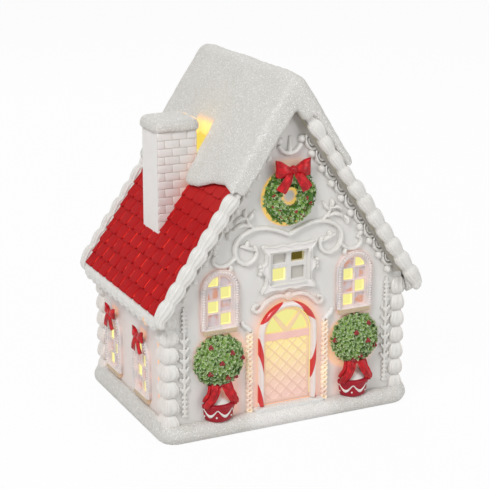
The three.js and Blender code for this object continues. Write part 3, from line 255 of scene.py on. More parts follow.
def ball(clay, centre, radii, where, wide=12, high=8):
    """A ball or egg. Its centre and radii are along the wall, up it and out of it."""
    points = []
    for v in half_turn(high):
        for u in circle(wide):
            points.append(where(centre[0] + radii[0] * math.sin(v) * math.cos(u),
                                centre[1] + radii[1] * math.cos(v),
                                centre[2] + radii[2] * math.sin(v) * math.sin(u)))
    clay.add(points, quads(high + 1, wide))


# Shader expressions

class Socket:
    """A value in a material. Python's operators add the Math or Vector Math nodes."""

    def __init__(self, tree, out):
        self.tree = tree
        self.out = out

    def maths(self, operation, *others):
        values = (self, *others)
        vector = any(isinstance(v, Socket) and v.out.type == "VECTOR" for v in values)
        kind = "ShaderNodeVectorMath" if vector else "ShaderNodeMath"
        output = 1 if operation == "LENGTH" else 0
        return self.tree.node(kind, {"operation": operation}, dict(enumerate(values)), output)

    def swapped(self, operation, other):
        kind = "ShaderNodeVectorMath" if self.out.type == "VECTOR" else "ShaderNodeMath"
        return self.tree.node(kind, {"operation": operation}, {0: other, 1: self})

    def __add__(self, other):
        return self.maths("ADD", other)

    def __sub__(self, other):
        return self.maths("SUBTRACT", other)

    def __mul__(self, other):
        return self.maths("MULTIPLY", other)

    def __truediv__(self, other):
        return self.maths("DIVIDE", other)

    def __radd__(self, other):
        return self.swapped("ADD", other)

    def __rsub__(self, other):
        return self.swapped("SUBTRACT", other)

    def __rmul__(self, other):
        return self.swapped("MULTIPLY", other)

    def __rtruediv__(self, other):
        return self.swapped("DIVIDE", other)

    def __gt__(self, other):
        return self.maths("GREATER_THAN", other)

    def __lt__(self, other):
        return self.maths("LESS_THAN", other)

    def __abs__(self):
        return self.maths("ABSOLUTE")

    def high(self, other):
        return self.maths("MAXIMUM", other)

    def clamp(self):
        return self.tree.node("ShaderNodeClamp", {}, {0: self})

    def step(self, low, high):
        """0 under low, 1 over high and smooth between; falls where low is the larger."""
        return self.tree.node("ShaderNodeMapRange", {"interpolation_type": "SMOOTHSTEP"},
                              {0: self, 1: low, 2: high, 3: 0.0, 4: 1.0})


class Tree:
    """The nodes of one material or group."""

    def __init__(self, nodes, links):
        self.nodes = nodes
        self.links = links

    def node(self, kind, settings=None, inputs=None, output=0):
        made = self.nodes.new(kind)
        for key, value in (settings or {}).items():
            setattr(made, key, value)
        for key, value in (inputs or {}).items():
            self.feed(made.inputs[key], value)
        return Socket(self, made.outputs[output])

    def feed(self, slot, value):
        if isinstance(value, Socket):
            self.links.new(value.out, slot)
        elif slot.type in ("VECTOR", "RGBA") and isinstance(value, (int, float)):
            slot.default_value = [value] * len(slot.default_value)
        elif slot.type == "RGBA":
            slot.default_value = (*value, 1.0) if len(value) == 3 else value
        else:
            slot.default_value = value

    def mix(self, low, high, share):
        """A colour between two. The numbers are the Mix node's own sockets for colours."""
        return self.node("ShaderNodeMix", {"data_type": "RGBA"}, {0: share, 6: low, 7: high}, 2)

    def place(self):
        """The point on the object, in millimetres."""
        return self.node("ShaderNodeTexCoord", output="Object") * 1000.0

    def outputs(self, first):
        """All the outputs of the node that a value comes from."""
        return [Socket(self, out) for out in first.out.node.outputs]

    def parts(self, vector):
        return self.outputs(self.node("ShaderNodeSeparateXYZ", {}, {0: vector}))

    def xyz(self):
        return self.parts(self.place())

    def flat(self, x, z):
        return self.node("ShaderNodeCombineXYZ", {}, {0: x, 1: z, 2: 0.0})

    def clouds(self, place, size, detail=3.0, rough=0.5):
        """Soft noise from 0 to 1 whose lumps are about size millimetres."""
        return self.node("ShaderNodeTexNoise", {}, {"Vector": place, "Scale": 1.0 / size,
                                                    "Detail": detail, "Roughness": rough})

    def flakes(self, place, size, output="Distance", feature="F1"):
        """Cells of about size millimetres: how far the next one is, or a random colour for each."""
        return self.node("ShaderNodeTexVoronoi", {"feature": feature},
                         {"Vector": place, "Scale": 1.0 / size}, output)

    def mark(self, name):
        """A number that a mesh carries on its points."""
        return self.node("ShaderNodeAttribute", {"attribute_name": name}, output="Fac")

    def bump(self, height, depth):
        """A normal from a height that is depth millimetres at 1."""
        return self.node("ShaderNodeBump", {}, {"Height": height, "Distance": depth * MM})

    def light(self):
        """How strongly the lamp shows through here, and how yellow it is."""
        return self.outputs(self.node("ShaderNodeGroup", {"node_tree": inner_light}))


def tree_of(holder):
    """The nodes of a material or a world."""
    holder.use_nodes = True
    return Tree(holder.node_tree.nodes, holder.node_tree.links)


def box_gap(place, centre, half):
    """How far a point lies outside a rectangle."""
    return (abs(place - (*centre, 0.0)) - (*half, 0.0)).high(0.0).maths("LENGTH")


def point_gap(place, centre):
    return box_gap(place, centre, (0.0, 0.0))


def off_roof(x, z):
    """How far a point lies off the outer face of the nearer roof slope."""
    return abs(x) * RISE + z * RUN - ROOF_FACE


def halo(gap, reach, strength):
    """Light that fades over its reach."""
    fade = (1.0 - gap / reach).clamp()
    return fade * fade * strength


def brightest(glows):
    best = glows[0]
    for glow in glows[1:]:
        best = best.high(glow)
    return best


def front_light(tree, x, y, z):
    """The lamp's light on the front wall: round the door, windows, wreath and trees, and beside the pots."""
    front = tree.flat(abs(x), z)
    whole = tree.flat(x, z)
    door = box_gap(front, (0.0, 41.0), (0.0, 26.5)) - 22.0
    lower_left = (x * -0.045 - (z - WREATH_Z) * 0.03 + 0.45).clamp()
    wreath_edge = abs(point_gap(whole, (-0.9, 166.2)) - 19.1)
    wreath_hole = abs(point_gap(whole, (0.6, WREATH_Z)) - 5.6)
    arched_head = (point_gap(front, (WINDOW_X, WINDOW_SPRING_Z)) - 13.6).high(0.0)
    left_tree = (point_gap(whole, (-51.5, 57.0)) - BALL_RADIUS).high(0.0)
    right_tree = (point_gap(whole, (51.5, 52.0)) - BALL_RADIUS).high(0.0)
    glow = brightest([
        halo(door.high(0.0), 16.0, 0.78),
        halo(door.high(0.0), 4.5, 1.3) * z.step(56.0, 76.0),
        halo(box_gap(front, (WINDOW_X, 90.0), (13.6, 17.5)), 5.0, 0.26),
        halo(arched_head, 5.0, 0.22),
        halo(box_gap(whole, (-WINDOW_X, 75.5), (9.0, 0.4)), 4.5, 0.75),
        halo(left_tree, 6.0, 0.5),
        halo(right_tree, 6.0, 0.75),
        halo(wreath_edge, 2.7, 3.0) * lower_left,
        halo(wreath_hole, 3.6, 2.4) * (1.15 - lower_left).clamp(),
        halo(box_gap(whole, (-0.4, 187.0), (9.6, 4.6)), 4.6, 0.3),
        halo(box_gap(whole, (-46.0, 27.0), (6.0, 12.0)), 12.0, 0.5),
        halo(box_gap(whole, (46.0, 27.0), (6.0, 12.0)), 10.0, 0.3),
    ])
    return glow * (y < FRONT_Y + 0.6) * (y > FRONT_Y - 5.2)


def side_light(tree, x, y, z):
    """The light on the side walls: at the front corner, low down, and round the windows and bows."""
    side = tree.flat(y, z)
    glows = [halo(box_gap(side, (-50.6, 55.0), (0.4, 34.0)), 2.6, 0.95),
             halo(box_gap(side, (0.0, 40.0), (55.0, 22.0)), 26.0, 0.11)]
    for at in SIDE_WINDOW_YS.values():
        glows.append(halo(box_gap(side, (at, 36.0), (12.5, 16.0)), 5.0, 0.22))
        glows.append(halo(box_gap(side, (at - 0.6, 65.5), (5.4, 4.4)), 2.8, 0.6))
    return brightest(glows) * (abs(x) > SIDE_X - 0.6)


def build_inner_light():
    group = bpy.data.node_groups.new("inner_light", "ShaderNodeTree")
    for name in ("Glow", "Heat"):
        group.interface.new_socket(name=name, in_out="OUTPUT", socket_type="NodeSocketFloat")
    tree = Tree(group.nodes, group.links)
    x, y, z = tree.xyz()
    patch = tree.clouds(tree.place(), 11.0, 2.0) * 0.5 + 0.75
    glow = front_light(tree, x, y, z).high(side_light(tree, x, y, z)) * patch
    heat = (glow - 0.32 + (z - 60.0) * 0.004).clamp()
    out = tree.nodes.new("NodeGroupOutput")
    tree.feed(out.inputs[0], glow.clamp())
    tree.feed(out.inputs[1], heat)
    return group


inner_light = build_inner_light()
PINK_LIGHT = (1.0, 0.42, 0.30)
WARM_LIGHT = (1.0, 0.66, 0.14)
NO_LIGHT = (0.0, 0.0, 0.0)


def finish(name, build, **fixed):
    """A Principled material: build returns what varies, fixed is set on the sockets."""
    material = bpy.data.materials.new(name)
    tree = tree_of(material)
    shader = tree.nodes["Principled BSDF"]
    for key, value in fixed.items():
        tree.feed(shader.inputs[key.replace("_", " ")], value)
    for key, value in build(tree).items():
        tree.feed(shader.inputs[key], value)
    return material


def lit(tree, colour, strength, glow=None, heat=None):
    """A base colour and an emission that let the lamp show through."""
    if glow is None:
        glow, heat = tree.light()
    warm_glow = tree.mix(PINK_LIGHT, WARM_LIGHT, heat)
    under = tree.mix((0.52, 0.30, 0.22), (0.32, 0.17, 0.02), heat)
    return {"Base Color": tree.mix(colour, under, glow * 0.92),
            "Emission Color": tree.mix(NO_LIGHT, warm_glow, glow * strength)}


def grain(tree, size=0.9, depth=0.05):
    """The slight unevenness of glazed porcelain."""
    place = tree.place()
    fine = tree.clouds(place, size, 4.0, 0.6)
    broad = tree.clouds(place, 14.0, 2.0)
    return tree.bump(fine * 0.5 + broad, depth)


# Finishes

def wall_porcelain(tree):
    x, y, z = tree.xyz()
    inside = (abs(x) < SIDE_X - WALL_THICKNESS + 0.3) * (abs(y) < -FRONT_Y - WALL_THICKNESS + 0.3)
    in_front_wall = (y > FRONT_Y + 0.4) * (y < FRONT_Y + WALL_THICKNESS - 0.1)
    reveal = in_front_wall * (abs(x) < SIDE_X - 0.4) * (z > 18.0)
    room = inside.high(reveal)
    cloud = tree.clouds(tree.place(), 30.0, 2.0)
    tone = tree.mix((0.66, 0.645, 0.62), (0.74, 0.725, 0.70), cloud)
    # Painted shade: high up, the wall just under the roof's edge is darkened where the overhang shades it.
    under_roof = off_roof(x, z).step(-12.6, -9.6) * (z > 100.0)
    tone = tree.mix(tone, (0.42, 0.39, 0.34), under_roof * 0.75)
    glow, heat = tree.light()
    out = lit(tree, tone, 0.6, glow, heat)
    # Painted shade inside the room: the upper corner at the right of the rear wall gets almost no painted
    # lamplight.
    unlit_corner = (x * 0.8 + z * 0.6).step(95.0, 102.0) * (y > 50.0) * (z > 62.0)
    lamplight = tree.mix((0.80, 0.77, 0.30), (0.012, 0.008, 0.0), unlit_corner)
    out["Base Color"] = tree.mix(out["Base Color"], (0.09, 0.07, 0.02), room)
    out["Emission Color"] = tree.mix(out["Emission Color"], lamplight, room)
    out["Roughness"] = cloud * 0.12 + 0.42
    out["Normal"] = grain(tree)
    return out


def trim_porcelain(tree):
    x, y, _ = tree.xyz()
    cloud = tree.clouds(tree.place(), 9.0, 3.0)
    # Painted shade: the relief is darkened at its foot, within about a millimetre of the front wall.
    foot = (FRONT_Y - y).step(1.1, 0.0) * (y < FRONT_Y + 0.8) * (abs(x) < SIDE_X)
    tone = tree.mix((0.66, 0.64, 0.60), (0.78, 0.765, 0.74), cloud)
    out = lit(tree, tree.mix(tone, (0.30, 0.28, 0.25), foot * 0.35), 0.45)
    out["Roughness"] = cloud * 0.15 + 0.4
    out["Normal"] = grain(tree, 0.7, 0.06)
    return out


def open_panes(x, y, z, on_side):
    """1 on the panes of an arched window that show the lit room, 0 on those between, as on a chessboard."""
    rear = on_side * (y > 4.7)
    row = ((z + on_side * SIDE_WINDOW_DROP - 80.05) / 9.5).maths("FLOOR")
    middle = rear * (SIDE_WINDOW_YS["rear"] - SIDE_WINDOW_YS["front"]) + SIDE_WINDOW_YS["front"]
    column = (abs(x) > WINDOW_X) * (1.0 - on_side) + (y > middle) * on_side
    return 1.0 - (row + column + rear + 8.0).maths("MODULO", 2.0)


def window_porcelain(tree):
    x, y, z = tree.xyz()
    out = (FRONT_Y - y).high(abs(x) - SIDE_X)
    sunk = out.step(-0.15, -0.5)
    attic = (z > 96.0) * (abs(x) < 26.0)
    arched = 1.0 - attic
    on_side = abs(x) > 80.0
    patch = tree.clouds(tree.place(), 12.0, 2.0)
    # Painted shade: the low parts of the arched frames and the gaps between their ribs are darker; on the
    # attic window the same mask gives the low flange the wall's own colour.
    between_ribs = out.step(3.4, 2.7) * (out > 1.9) * arched
    crease = out.step(2.6, 1.2).high(between_ribs * 0.6)
    flange = tree.mix((0.58, 0.54, 0.53), (0.68, 0.665, 0.64), attic)
    frame_tone = tree.mix((0.79, 0.765, 0.75), flange, crease)
    # Painted warm shade: under the sill, the frame behind and between the notches is tinted tan.
    under_sill = (z + on_side * SIDE_WINDOW_DROP) < 78.3
    frame_tone = tree.mix(frame_tone, (0.50, 0.40, 0.26), under_sill * out.step(4.1, 3.2))
    warm_glow = (crease * patch.step(0.35, 0.6) * 0.7 + 0.06) * arched
    frame_light = tree.mix((0.01, 0.006, 0.007), (0.26, 0.12, 0.08), warm_glow)
    open_pane = open_panes(x, y, z, on_side)
    # Painted lamplight: the panes that don't show the room have a dim painted glow with orange spots.
    glow_spot = tree.clouds(tree.place(), 6.0, 1.0).step(0.44, 0.68) * arched
    lamplight = (0.71, 0.66, 0.25)
    unlit = tree.mix((0.13, 0.095, 0.10), (0.34, 0.13, 0.07), glow_spot)
    # Painted light on the attic panes: painted lamplight on the lower panes at the left, painted shade (near
    # black) on the rest.
    attic_pane = tree.mix((0.012, 0.010, 0.006), lamplight, (x < 0.0) * (z < 118.0))
    pane = tree.mix(tree.mix(unlit, lamplight, open_pane), attic_pane, attic)
    pane_tone = tree.mix(tree.mix((0.52, 0.47, 0.48), (0.34, 0.20, 0.15), glow_spot), (0.50, 0.48, 0.44), attic)
    pane_tone = tree.mix(pane_tone, (0.40, 0.36, 0.22), open_pane * arched)
    return {
        "Base Color": tree.mix(frame_tone, pane_tone, sunk),
        "Emission Color": tree.mix(frame_light, pane, sunk),
        "Roughness": patch * 0.15 + 0.4,
        "Normal": grain(tree, 0.7, 0.05),
    }


def door_porcelain(tree):
    _, y, z = tree.xyz()
    rise = z.step(18.0, 66.0)
    bar = y.step(-62.3, -62.9)
    cell = tree.mix((0.56, 0.33, 0.31), (0.66, 0.56, 0.13), rise)
    ridge = tree.mix((0.44, 0.24, 0.22), (0.54, 0.37, 0.14), rise)
    cross = z.step(61.4, 62.2) * z.step(67.8, 67.2)
    glow = tree.mix(tree.mix(cell, ridge, bar), (0.54, 0.26, 0.26), cross)
    patch = tree.clouds(tree.place(), 7.0, 2.0)
    return {
        "Base Color": tree.mix((0.28, 0.23, 0.20), (0.34, 0.29, 0.24), patch),
        "Emission Color": tree.mix(glow, (0.74, 0.46, 0.22), patch * 0.25),
        "Roughness": patch * 0.15 + 0.4,
        "Normal": grain(tree, 0.7, 0.05),
    }


def glitter_snow(tree):
    place = tree.place()
    x, y, z = tree.parts(place)
    flake = 0.42
    # Painted glints: the brightest glitter flakes are painted near white, with a lower roughness below;
    # other flakes are darker.
    red, green, _ = tree.parts(tree.flakes(place, flake, "Color"))
    bright = red.step(0.88, 0.93)
    dark = green.step(0.84, 0.93)
    cloud = tree.clouds(place, 18.0, 3.0)
    tone = tree.mix((0.61, 0.592, 0.548), (0.70, 0.685, 0.65), cloud)
    threshold = abs(x).step(40.0, 26.0) * (y < FRONT_Y + 1.0) * (z < 15.6)
    tone = tree.mix(tone, (0.86, 0.85, 0.83), threshold * 0.7)
    tone = tree.mix(tone, (0.46, 0.45, 0.43), dark * 0.6)
    tone = tree.mix(tone, (0.93, 0.93, 0.94), bright)
    lumps = tree.clouds(place, 3.2, 5.0, 0.65)
    vent = box_gap(tree.flat(x, y), (VENT_X, VENT_Y), (5.9, 11.6))
    spill = halo(vent, 4.0, 1.0) * (z > 150.0) * (z < 216.0)
    spill_light = tree.mix((0.5, 0.13, 0.05), (0.95, 0.75, 0.15), spill)
    return {
        "Base Color": tree.mix(tone, (0.62, 0.38, 0.28), spill),
        "Emission Color": tree.mix(NO_LIGHT, spill_light, spill),
        "Roughness": 0.72 - bright * 0.4,
        "Normal": tree.bump(lumps * 0.8 - tree.flakes(place, flake) * 0.35, 0.55),
    }


def chimney_porcelain(tree):
    place = tree.place()
    x, y, z = tree.parts(place)
    near = (1.0 - off_roof(x, z) / 15.0).clamp() * x.step(-70.0, -45.0)
    cloud = tree.clouds(place, 9.0, 3.0)
    tone = tree.mix((0.74, 0.715, 0.69), (0.82, 0.805, 0.78), cloud)
    mortar = (STACK_FRONT - y).step(0.30, 0.05) * (y < STACK_FRONT + 0.3) * (z < 206.0)
    tone = tree.mix(tone, (0.56, 0.44, 0.38), mortar * 0.36)
    out = lit(tree, tone, 0.5, near * 0.5 * (y < -8.0), near * 0.2)
    out["Roughness"] = cloud * 0.15 + 0.42
    out["Normal"] = grain(tree, 0.8, 0.08)
    return out


def tile_red(tree):
    place = tree.place()
    _, _, z = tree.parts(place)
    broad = tree.clouds(place, 13.0, 3.0)
    brushed = tree.clouds(place * (0.4, 1.6, 0.4), 2.4, 3.0)
    tone = tree.mix((0.37, 0.006, 0.008), (0.49, 0.010, 0.012), broad)
    tone = tree.mix(tone, (0.60, 0.016, 0.016), brushed.step(0.52, 0.75) * 0.35)
    tone = tree.mix(tone, (0.62, 0.055, 0.05), z.step(145.0, 195.0) * 0.55)
    # Painted shade: the lower and side rims of each tile, where it meets the tiles round it, are darker.
    tone = tree.mix(tone, (0.22, 0.004, 0.007), tree.mark("joint") * 0.6)
    lit_seam = tree.mark("seam") * tree.clouds(place, 9.0, 2.0).step(0.42, 0.6) * z.step(175.0, 120.0)
    return {
        "Base Color": tone,
        "Emission Color": tree.mix(NO_LIGHT, (0.75, 0.05, 0.02), lit_seam * 0.8),
        "Roughness": broad * 0.14 + 0.42,
        "Normal": tree.bump(brushed + tree.clouds(place, 1.6, 3.0) * 0.6, 0.12),
    }


def joint_red(tree):
    """The slabs under the tiles: red where the seams show them, white at their rims and lit inside."""
    place = tree.place()
    x, y, z = tree.parts(place)
    off = off_roof(x, z)
    inside = (off < -4.6) * (abs(y) < 60.0) * (abs(x) < 92.0)
    at_vent = box_gap(tree.flat(x, y), (VENT_X + 3.4, VENT_Y + 2.0), (9.6, 15.0)) < 0.5
    bright = inside.high(at_vent)
    rim = ((off < -0.3) * (abs(y) > 62.0)).high((off < -5.0) * (abs(x) > 92.5))
    streak = tree.clouds(place, 5.0, 2.0).step(0.5, 0.68) * z.step(170.0, 110.0) * (1.0 - rim)
    glow = tree.mix(NO_LIGHT, (0.9, 0.08, 0.03), streak * 0.8)
    red = tree.mix((0.34, 0.008, 0.012), (0.46, 0.016, 0.02), tree.clouds(place, 6.0))
    tone = tree.mix(red, (0.50, 0.485, 0.46), rim)
    return {
        "Base Color": tree.mix(tone, (0.08, 0.05, 0.01), bright),
        "Emission Color": tree.mix(glow, (0.87, 0.68, 0.12), bright),
        "Roughness": tree.clouds(place, 4.0) * 0.15 + 0.4,
    }


def ribbon_red(tree):
    place = tree.place()
    # Painted shade: cloudy dark patches stand in for the shade in the ribbon's folds.
    fold = tree.clouds(place, 3.4, 2.0)
    tone = tree.mix((0.32, 0.006, 0.010), (0.64, 0.014, 0.020), fold.step(0.3, 0.7))
    return {
        "Base Color": tone,
        "Roughness": fold * 0.14 + 0.26,
        "Normal": tree.bump(tree.clouds(place, 1.5, 2.0), 0.08),
    }


def pot_red_glaze(tree):
    place = tree.place()
    fold = tree.clouds(place, 5.0, 2.0)
    return {
        "Base Color": tree.mix((0.28, 0.008, 0.018), (0.40, 0.012, 0.026), fold),
        "Roughness": fold * 0.14 + 0.28,
        "Normal": tree.bump(tree.clouds(place, 1.2, 2.0), 0.05),
    }


def leaf_glaze(tree):
    place = tree.place()
    green = tree.mix((0.045, 0.14, 0.016), (0.24, 0.40, 0.070), tree.mark("tint"))
    red, _, _ = tree.parts(tree.flakes(place, 0.7, "Color"))
    frost = (tree.mark("tip").step(0.5, 1.0) * 0.85 + red.step(0.80, 0.92) * 0.5).clamp()
    tone = tree.mix(green, (0.64, 0.72, 0.50), frost * 0.8)
    return {
        "Base Color": tone,
        "Roughness": 0.62 - frost * 0.15,
        "Normal": tree.bump(tree.clouds(place, 0.8, 3.0), 0.12),
    }


def berry_glaze(tree):
    cloud = tree.clouds(tree.place(), 1.2, 2.0)
    return {"Base Color": tree.mix((0.22, 0.016, 0.018), (0.40, 0.05, 0.055), cloud),
            "Roughness": cloud * 0.2 + 0.22}


def candy_glaze(tree):
    edge = tree.mark("stripe").step(0.46, 0.54)
    cloud = tree.clouds(tree.place(), 4.0, 2.0)
    white = tree.mix((0.66, 0.61, 0.60), (0.76, 0.72, 0.71), cloud)
    red = tree.mix((0.52, 0.008, 0.010), (0.64, 0.016, 0.016), cloud)
    return {
        "Base Color": tree.mix(white, red, edge),
        # Painted lamplight: a faint warm glow on the white stripes and a fainter red one on the red.
        "Emission Color": tree.mix((0.10, 0.06, 0.04), (0.04, 0.0, 0.0), edge),
        "Roughness": cloud * 0.12 + 0.24,
        "Normal": tree.bump(tree.clouds(tree.place(), 1.6, 2.0), 0.05),
    }


def rope_porcelain(tree):
    _, _, z = tree.xyz()
    cloud = tree.clouds(tree.place(), 10.0, 2.0)
    # Painted lamplight: the rope below its head has a faint warm painted glow; the curled leaf at the head
    # stays white and unlit.
    warm_glow = tree.mix((0.20, 0.09, 0.07), (0.30, 0.20, 0.09), cloud.step(0.35, 0.65))
    tone = tree.mix((0.66, 0.60, 0.52), (0.72, 0.68, 0.58), cloud)
    head = z.step(70.0, 74.0)
    return {
        "Base Color": tree.mix(tone, (0.76, 0.745, 0.72), head),
        "Emission Color": tree.mix(warm_glow, NO_LIGHT, head),
        "Roughness": cloud * 0.15 + 0.4,
    }


def moulded_white(tree):
    place = tree.place()
    cloud = tree.clouds(place, 25.0)
    return {"Base Color": tree.mix((0.70, 0.69, 0.66), (0.76, 0.75, 0.72), cloud),
            "Roughness": cloud * 0.1 + 0.48,
            "Normal": tree.bump(tree.flakes(place, 0.45), 0.05)}


def moulded_black(tree):
    place = tree.place()
    return {"Base Color": tree.mix((0.012, 0.012, 0.013), (0.03, 0.03, 0.032), tree.clouds(place, 3.0)),
            "Roughness": tree.clouds(place, 1.0) * 0.2 + 0.4,
            "Normal": tree.bump(tree.flakes(place, 0.4), 0.05)}


def cell_jacket(tree):
    _, y, _ = tree.xyz()
    band = y.step(4.0, 4.4)
    return {"Base Color": tree.mix((0.06, 0.065, 0.07), (0.62, 0.40, 0.20), band),
            "Roughness": tree.clouds(tree.place(), 2.0) * 0.1 + 0.25,
            "Metallic": band * 0.8 + 0.1}


def nickel(tree):
    place = tree.place()
    brushed = tree.clouds(place * (1.0, 0.08, 1.0), 0.3, 4.0)
    return {"Base Color": tree.mix((0.55, 0.54, 0.52), (0.72, 0.71, 0.69), brushed),
            "Roughness": brushed * 0.15 + 0.22,
            "Normal": tree.bump(brushed, 0.02)}


def solder_mask(tree):
    place = tree.place()
    between_tracks = tree.flakes(place, 3.0, feature="DISTANCE_TO_EDGE").step(0.1, 0.14)
    return {"Base Color": tree.mix((0.03, 0.17, 0.07), (0.015, 0.10, 0.045), between_tracks),
            "Roughness": between_tracks * 0.1 + 0.3,
            "Normal": tree.bump(0.0 - between_tracks, 0.03)}


def frosted_globe(tree):
    _, _, z = tree.xyz()
    hot = z.step(46.0, 34.0)
    return {"Base Color": (0.9, 0.82, 0.6),
            "Emission Color": tree.mix((1.0, 0.72, 0.32), (1.0, 0.92, 0.62), hot),
            "Roughness": hot * 0.1 + 0.35}


GLOWING = {"Emission_Strength": 1.0}
WALL = finish("warm_white_porcelain", wall_porcelain, Coat_Weight=0.12, Coat_Roughness=0.3, **GLOWING)
TRIM = finish("relief_porcelain", trim_porcelain, Coat_Weight=0.15, Coat_Roughness=0.3, **GLOWING)
WINDOW = finish("pierced_porcelain", window_porcelain, Coat_Weight=0.1, Coat_Roughness=0.3, **GLOWING)
DOOR = finish("thin_lit_porcelain", door_porcelain, **GLOWING)
CHIMNEY = finish("chimney_porcelain", chimney_porcelain, Coat_Weight=0.1, Coat_Roughness=0.3, **GLOWING)
SNOW = finish("glitter_snow", glitter_snow, Specular_IOR_Level=0.5, **GLOWING)
TILE = finish("red_tile_glaze", tile_red, Specular_IOR_Level=0.05, **GLOWING)
JOINT = finish("red_glaze_under_tiles", joint_red, Specular_IOR_Level=0.05, **GLOWING)
RIBBON = finish("red_ribbon_glaze", ribbon_red, Specular_IOR_Level=0.12, Coat_Weight=0.28,
                Coat_Roughness=0.14)
POT = finish("red_pot_glaze", pot_red_glaze, Specular_IOR_Level=0.15, Coat_Weight=0.12,
             Coat_Roughness=0.2)
LEAF = finish("frosted_leaf_glaze", leaf_glaze, Specular_IOR_Level=0.2)
BERRY = finish("berry_glaze", berry_glaze, Specular_IOR_Level=0.3)
ROPE = finish("rope_porcelain", rope_porcelain, **GLOWING)
CANDY = finish("candy_stripe_glaze", candy_glaze, Coat_Weight=0.5, Coat_Roughness=0.12, **GLOWING)
COVER = finish("moulded_white_plastic", moulded_white)
SWITCH = finish("moulded_black_plastic", moulded_black)
JACKET = finish("cell_jacket", cell_jacket)
NICKEL = finish("nickel_plate", nickel, Metallic=1.0)
BOARD = finish("solder_mask", solder_mask, Coat_Weight=0.4)
GLOBE = finish("frosted_globe", frosted_globe, **GLOWING)


# Snow

DRIFT_WAVES = ((0.06, 0.5), (0.2, 0.22), (0.6, 0.1))
SETTLED_WAVES = ((0.05, 0.6), (0.17, 0.3), (0.6, 0.12))
DRAPE_START = 134.0
DRAPE_REACH = 34.0
DRAPE_PULL = 10.5


def waves(point, sizes):
    return sum(noise.noise(point * pitch) * height for pitch, height in sizes)


def drifted(point, normal):
    """Snow that swells outwards round the base, but not under the walls or at its foot."""
    if abs(point.x) < SIDE_X - 1.0 and abs(point.y) < -FRONT_Y - 1.0:
        return Vector((0.0, 0.0, 0.0))
    return normal * (waves(point, DRIFT_WAVES) + 0.9) * smooth_step(0.6, 6.0, point.z)


def settled(point, normal):
    return normal * (waves(point, SETTLED_WAVES) - 0.1)


def draped(point, normal):
    """Settled snow whose right-hand edge stays a little higher up the slope."""
    up_slope = (-EAVE[0] - point.x) * RUN + (point.z - EAVE[1]) * RISE
    reach = max(DRAPE_START - up_slope, 0.0) / DRAPE_REACH if point.x > 20.0 else 0.0
    pull = Vector((-RUN, 0.0, RISE)) * (DRAPE_PULL * reach * reach)
    moved = point + settled(point, normal) + pull
    limit = SNOW_HALF_DEPTH - 0.1
    moved.y = min(max(moved.y, -limit), limit)
    return moved - point


cast("snow_base", SNOW, 1.1, 5, drifted)
cast("snow_cap", SNOW, 1.1, 24, draped)
cast("chimney_snow", SNOW, 0.5, 4, settled)
cast("door_step", SNOW, 0.5, 3)


# Roof

TILE_ROWS = 10
TILES_IN_ROW = 10
TILE_PITCH = 10.0
TILE_OVERLAP = 3.0
TILE_WIDTH = 2 * ROOF_HALF_DEPTH / TILES_IN_ROW
VENT_FOOT = 99.0
VENT_ENDS = (-9.0, 18.0)


def tile(clay, low, v0, v1, side, top):
    """A tile with round lower corners that lies on the row below it."""
    half_gap = 0.28
    v0, v1 = v0 + half_gap, v1 - half_gap
    round_off = min(2.0, (v1 - v0) / 2)
    edge = [(top, v0)]
    for i in range(5):
        a = math.pi / 2 * i / 4
        edge.append((low + round_off * (1 - math.sin(a)), v0 + round_off * (1 - math.cos(a))))
    for i in range(5):
        a = math.pi / 2 * (1 - i / 4)
        edge.append((low + round_off * (1 - math.sin(a)), v1 - round_off * (1 - math.cos(a))))
    edge.append((top, v1))
    middle = ((low + top) / 2, (v0 + v1) / 2)
    jog = chance.uniform(-0.12, 0.12)

    def ring(inset, lift):
        points = []
        for u, v in edge:
            share = inset / math.hypot(middle[0] - u, middle[1] - v)
            u, v = between(u, middle[0], share), between(v, middle[1], share)
            fall = (u - low) * 0.13
            points.append(slope_point(u, v, lift - fall + jog, side))
        return points

    rings = [ring(0.0, -1.3), ring(0.0, -0.2), ring(0.22, 0.14), ring(0.7, 0.32), ring(2.2, 0.42)]
    count = len(edge)
    # joint marks the lower and side rims of each tile for painted shade; seam marks its sides, where the
    # painted glow of the seams shows.
    joints = [0.0] + [1.0] * (count - 2) + [0.0]
    seams = [1.0, 1.0] + [0.0] * (count - 4) + [1.0, 1.0]
    clay.loft(rings, joint=joints * 2 + [0.35 * j for j in joints] + [0.0] * (2 * count),
              seam=seams * 3 + [0.0] * (2 * count))


def tiles(side_name, side):
    """Rows of tiles, each row half a tile beside the last. They stop short below the roof vent."""
    clay = Clay()
    for row in range(TILE_ROWS):
        low = row * TILE_PITCH
        stagger = 0.5 if row % 2 else 0.0
        for k in range(-1, TILES_IN_ROW + 1):
            start = -ROOF_HALF_DEPTH + (k + stagger) * TILE_WIDTH
            v0, v1 = max(start, -ROOF_HALF_DEPTH), min(start + TILE_WIDTH, ROOF_HALF_DEPTH)
            if v1 - v0 < 2.0:
                continue
            top = low + TILE_PITCH + TILE_OVERLAP
            if side < 0 and v1 > VENT_ENDS[0] and v0 < VENT_ENDS[1]:
                top = min(top, VENT_FOOT)
            tile(clay, low, v0, v1, side, top)
    clay.piece("roof_tiles_" + side_name, TILE, slot="roof_red")


tiles("left", -1)
tiles("right", 1)


# Icing along the roof edges and up the corners

def flute(angle, twist, count=12, depth=0.085):
    """Round ridges with sharp valleys, as a star nozzle leaves them."""
    return 1.0 + depth * (2.0 * abs(math.cos(count * angle / 2 + twist)) - 1.35)


def swell(share):
    """How full a dollop is, from its thin tail at the lower end to its round head."""
    return 0.70 + 0.35 * max(math.sin(math.pi * share ** 1.6), 0.0) ** 0.5


